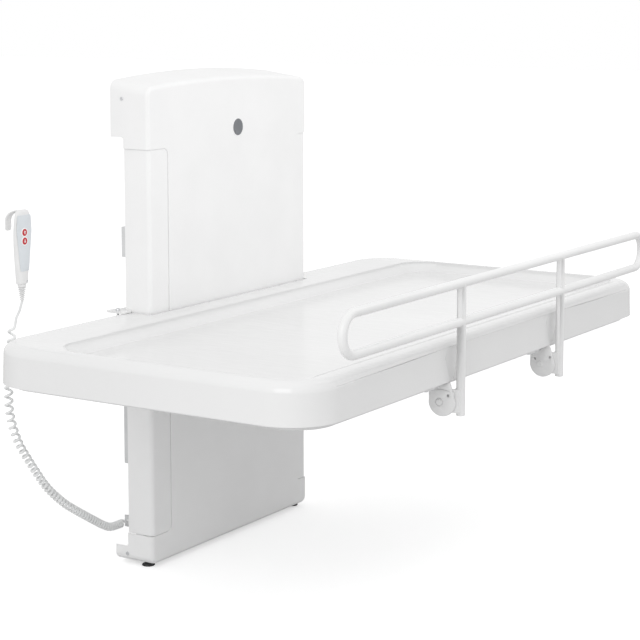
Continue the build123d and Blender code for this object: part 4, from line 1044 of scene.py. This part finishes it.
# %% Hook
strap_width = 0.020
strap_thickness = 0.0030
crook_centre = (-0.0500, 0.3270)
crook_rise = 0.0281
crook_reach = 1.61
tail = 0.024
tip_round = 0.0075
tip_band = 0.0005
crook_start = (handset_x, crook_centre[0], crook_centre[1] + crook_rise)
form = bmesh.new()
bmesh.ops.create_grid(form, x_segments=1, y_segments=1, size=0.5)
bmesh.ops.rotate(form, verts=form.verts, cent=(0, 0, 0), matrix=Matrix.Rotation(pi / 2, 3, "X"))
bmesh.ops.scale(form, verts=form.verts, vec=(strap_width, 1, strap_thickness))
bmesh.ops.translate(form, verts=form.verts, vec=crook_start)
bent = bmesh.ops.spin(
    form, geom=list(form.faces), cent=(0, *crook_centre), axis=(1, 0, 0), angle=-pi / 2,
    steps=14, use_merge=False,
)
for vert in form.verts:
    vert.co.y = crook_centre[0] + (vert.co.y - crook_centre[0]) * crook_reach
end_faces = only(bent["geom_last"], BMFace)
made = bmesh.ops.extrude_face_region(form, geom=end_faces)
bmesh.ops.translate(form, verts=only(made["geom"], BMVert), vec=(0, 0, -tail))
tip_level = min(vert.co.z for vert in form.verts)
tip_edges = [
    edge for edge in form.edges
    if all(end.co.z < tip_level + tip_band for end in edge.verts)
    and abs(edge.verts[0].co.x - edge.verts[1].co.x) < level_tolerance
]
inner_faces = [face for face in end_faces if face.is_valid]
bmesh.ops.delete(form, geom=inner_faces, context="FACES_ONLY")
eased(form, tip_edges, tip_round, 8)
bmesh.ops.remove_doubles(form, verts=form.verts, dist=0.000001)
bmesh.ops.recalc_face_normals(form, faces=form.faces)
eased(form, edges_over(form, 60), 0.0011, 3)
hook = placed("handset_hook", form, "lift", "white_plastic")
print("hook faces", len(hook.data.polygons))

# %% [markdown]
# ### Screw of the handset
# A small screw low on the front holds the two shells together. Its head is turned like the
# heads of the other screws, with the same helper.

# %% Screw of the handset
screw_place = (handset_x + 0.0072, -0.0556, 0.1830)
form = bmesh.new()
socket_head(form, screw_place, (0, -1, 0), 0.0026, 0.0008, 0.0012, 0.0006)
screw = placed("handset_screw", form, "lift", "bright_steel")
print("screw faces", len(screw.data.polygons))

# %% [markdown]
# ### Foil
# A thin grey foil lies on the front of the handset. It is a flat plate with six corners, which
# are rounded before the plate gets its thickness.

# %% Foil
foil_front = -0.0568
foil_depth = 0.0012


def flat_sign(corners, level, depth, ease):
    """A thin plate in the plane across Y, from a few corners that may then be rounded"""
    form = bmesh.new()
    points = [form.verts.new((x, level, height)) for x, height in corners]
    form.faces.new(points)
    if ease:
        eased(form, points, ease, 5, "VERTICES")
    made = bmesh.ops.extrude_face_region(form, geom=list(form.faces))
    bmesh.ops.translate(form, verts=only(made["geom"], BMVert), vec=(0, depth, 0))
    bmesh.ops.recalc_face_normals(form, faces=form.faces)
    return form


right = [(0.0232, 0.3440), (0.0260, 0.3060), (0.0143, 0.2080)]
outline = [(handset_x + x, height) for x, height in right]
outline += [(handset_x - x, height) for x, height in reversed(right)]
form = flat_sign(outline, foil_front, foil_depth, 0.0035)
rims = [
    edge for edge in form.edges
    if all(abs(end.co.y - foil_front) < level_tolerance for end in edge.verts)
]
eased(form, rims, 0.0004)
foil = placed("keypad_foil", form, "lift", "keypad_grey")
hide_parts("handset_keypad")
print("foil faces", len(foil.data.polygons))

# %% [markdown]
# ### Buttons
# The two red buttons stand through the foil, each in a thin white ring and with a white arrow,
# up and down, which are plain signs. The arrow rides on the button's own body and is pressed
# with it, and the ring stays on the handset.

# %% Buttons
button_seat = -0.0520
button_front = -0.0582
arrow_proud = 0.0001
arrow_depth = 0.0004
cap = [(0, 0.0060), (0.0050, 0.0061), (0.0078, 0.0060), (0.0085, 0.0054), (0.0085, 0)]
rim_ring = [(0.0086, 0.0030), (0.0086, 0.0054), (0.0089, 0.0057), (0.0107, 0.0057),
            (0.0112, 0.0052), (0.0112, 0.0030)]
arrow = [(0, 0.0046), (0.0036, 0.0006), (0.0013, 0.0006), (0.0013, -0.0042),
         (-0.0013, -0.0042), (-0.0013, 0.0006), (-0.0036, 0.0006)]
for name, height, way in (("up_button", 0.3020, 1), ("down_button", 0.2810, -1)):
    place = (handset_x, button_seat, height)
    form = bmesh.new()
    lathe(form, cap, place, (0, -1, 0), steps=48)
    button = placed(name + "_cap", form, name, "button_red")
    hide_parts(name)
    form = bmesh.new()
    lathe(form, rim_ring, place, (0, -1, 0), steps=48)
    placed(name + "_ring", form, "lift", "white_cover")
    corners = [(handset_x + x, height + way * rise) for x, rise in arrow]
    form = flat_sign(corners, button_front - arrow_proud, arrow_depth, 0)
    placed(name + "_arrow", form, name, "white_plastic")
    print(name, "cap faces", len(button.data.polygons))

# %% [markdown]
# ## Floor, light and background
# The photograph is a cut-out on white. A large pale floor carries the object's soft shadow. To
# the camera alone it also glows a little, so that it looks white without lighting the object.

# %% Floor
form = bmesh.new()
bmesh.ops.create_grid(form, x_segments=1, y_segments=1, size=30)
bmesh.ops.translate(form, verts=form.verts, vec=(0, 0, floor_level))
floor_mesh = bpy.data.meshes.new("floor")
form.to_mesh(floor_mesh)
form.free()
floor = bpy.data.objects.new("floor", floor_mesh)
bpy.context.scene.collection.objects.link(floor)

floor_glow = 0.5
material, tree, shader = new_finish("pale_floor", paint(226, 226, 226), 0.9)
seen = tree.nodes.new("ShaderNodeLightPath")
glow = tree.nodes.new("ShaderNodeEmission")
glow.inputs["Strength"].default_value = floor_glow
dark = tree.nodes.new("ShaderNodeEmission")
dark.inputs["Strength"].default_value = 0
pick = tree.nodes.new("ShaderNodeMixShader")
total = tree.nodes.new("ShaderNodeAddShader")
tree.links.new(seen.outputs["Is Camera Ray"], pick.inputs["Fac"])
tree.links.new(dark.outputs["Emission"], pick.inputs[1])
tree.links.new(glow.outputs["Emission"], pick.inputs[2])
tree.links.new(shader.outputs["BSDF"], total.inputs[0])
tree.links.new(pick.outputs["Shader"], total.inputs[1])
tree.links.new(total.outputs["Shader"], tree.nodes["Material Output"].inputs["Surface"])
floor_mesh.materials.append(material)
print("floor at", floor_level)

# %% [markdown]
# ### World
# The world gives most of the light, evenly from all sides. To the camera and in reflections it
# is plain white, and the light that it casts on the object is a little weaker than that.

# %% World
world_light = 0.86
world = bpy.data.worlds.new("white_studio")
bpy.context.scene.world = world
world.use_nodes = True
tree = world.node_tree
ambient = tree.nodes["Background"]
ambient.inputs["Color"].default_value = (1, 1, 1, 1)
ambient.inputs["Strength"].default_value = world_light
white = tree.nodes.new("ShaderNodeBackground")
white.inputs["Color"].default_value = (1, 1, 1, 1)
white.inputs["Strength"].default_value = 1.0
seen = tree.nodes.new("ShaderNodeLightPath")
either = tree.nodes.new("ShaderNodeMath")
either.operation = "MAXIMUM"
any_of = tree.nodes.new("ShaderNodeMath")
any_of.operation = "MAXIMUM"
pick = tree.nodes.new("ShaderNodeMixShader")
tree.links.new(seen.outputs["Is Camera Ray"], either.inputs[0])
tree.links.new(seen.outputs["Is Glossy Ray"], either.inputs[1])
tree.links.new(either.outputs["Value"], any_of.inputs[0])
tree.links.new(seen.outputs["Is Transmission Ray"], any_of.inputs[1])
tree.links.new(any_of.outputs["Value"], pick.inputs["Fac"])
tree.links.new(ambient.outputs["Background"], pick.inputs[1])
tree.links.new(white.outputs["Background"], pick.inputs[2])
tree.links.new(pick.outputs["Shader"], tree.nodes["World Output"].inputs["Surface"])
print("world light", world_light)

# %% [markdown]
# ### Lamps
# Large square lamps give the even light its direction. The strongest stands at the left and
# lights the side of the column and the end of the tray, one shines on the column from near by,
# and two weak ones overhead and in front lift the tray and its skirt.

# %% Lamps


def softbox(name, place, target, size, power):
    """A square lamp that looks at a point"""
    lamp = bpy.data.lights.new(name, "AREA")
    lamp.shape = "SQUARE"
    lamp.size = size
    lamp.energy = power
    holder = bpy.data.objects.new(name, lamp)
    holder.location = place
    look = Vector(target) - Vector(place)
    holder.rotation_euler = look.to_track_quat("-Z", "Y").to_euler()
    bpy.context.scene.collection.objects.link(holder)


softbox("overhead_box", (-0.3, -2.0, 2.6), (0, -0.2, 0.2), 2.2, 1)
softbox("left_box", (-3.2, -1.2, 1.2), (0, -0.3, 0.0), 1.8, 19)
softbox("column_box", (0.3, -1.35, 1.2), (0, -0.12, 0.35), 1.0, 3.6)
softbox("front_box", (0.6, -3.6, 0.3), (0, -0.5, 0), 2.0, 0.5)
print("lamps", len(bpy.data.lights))
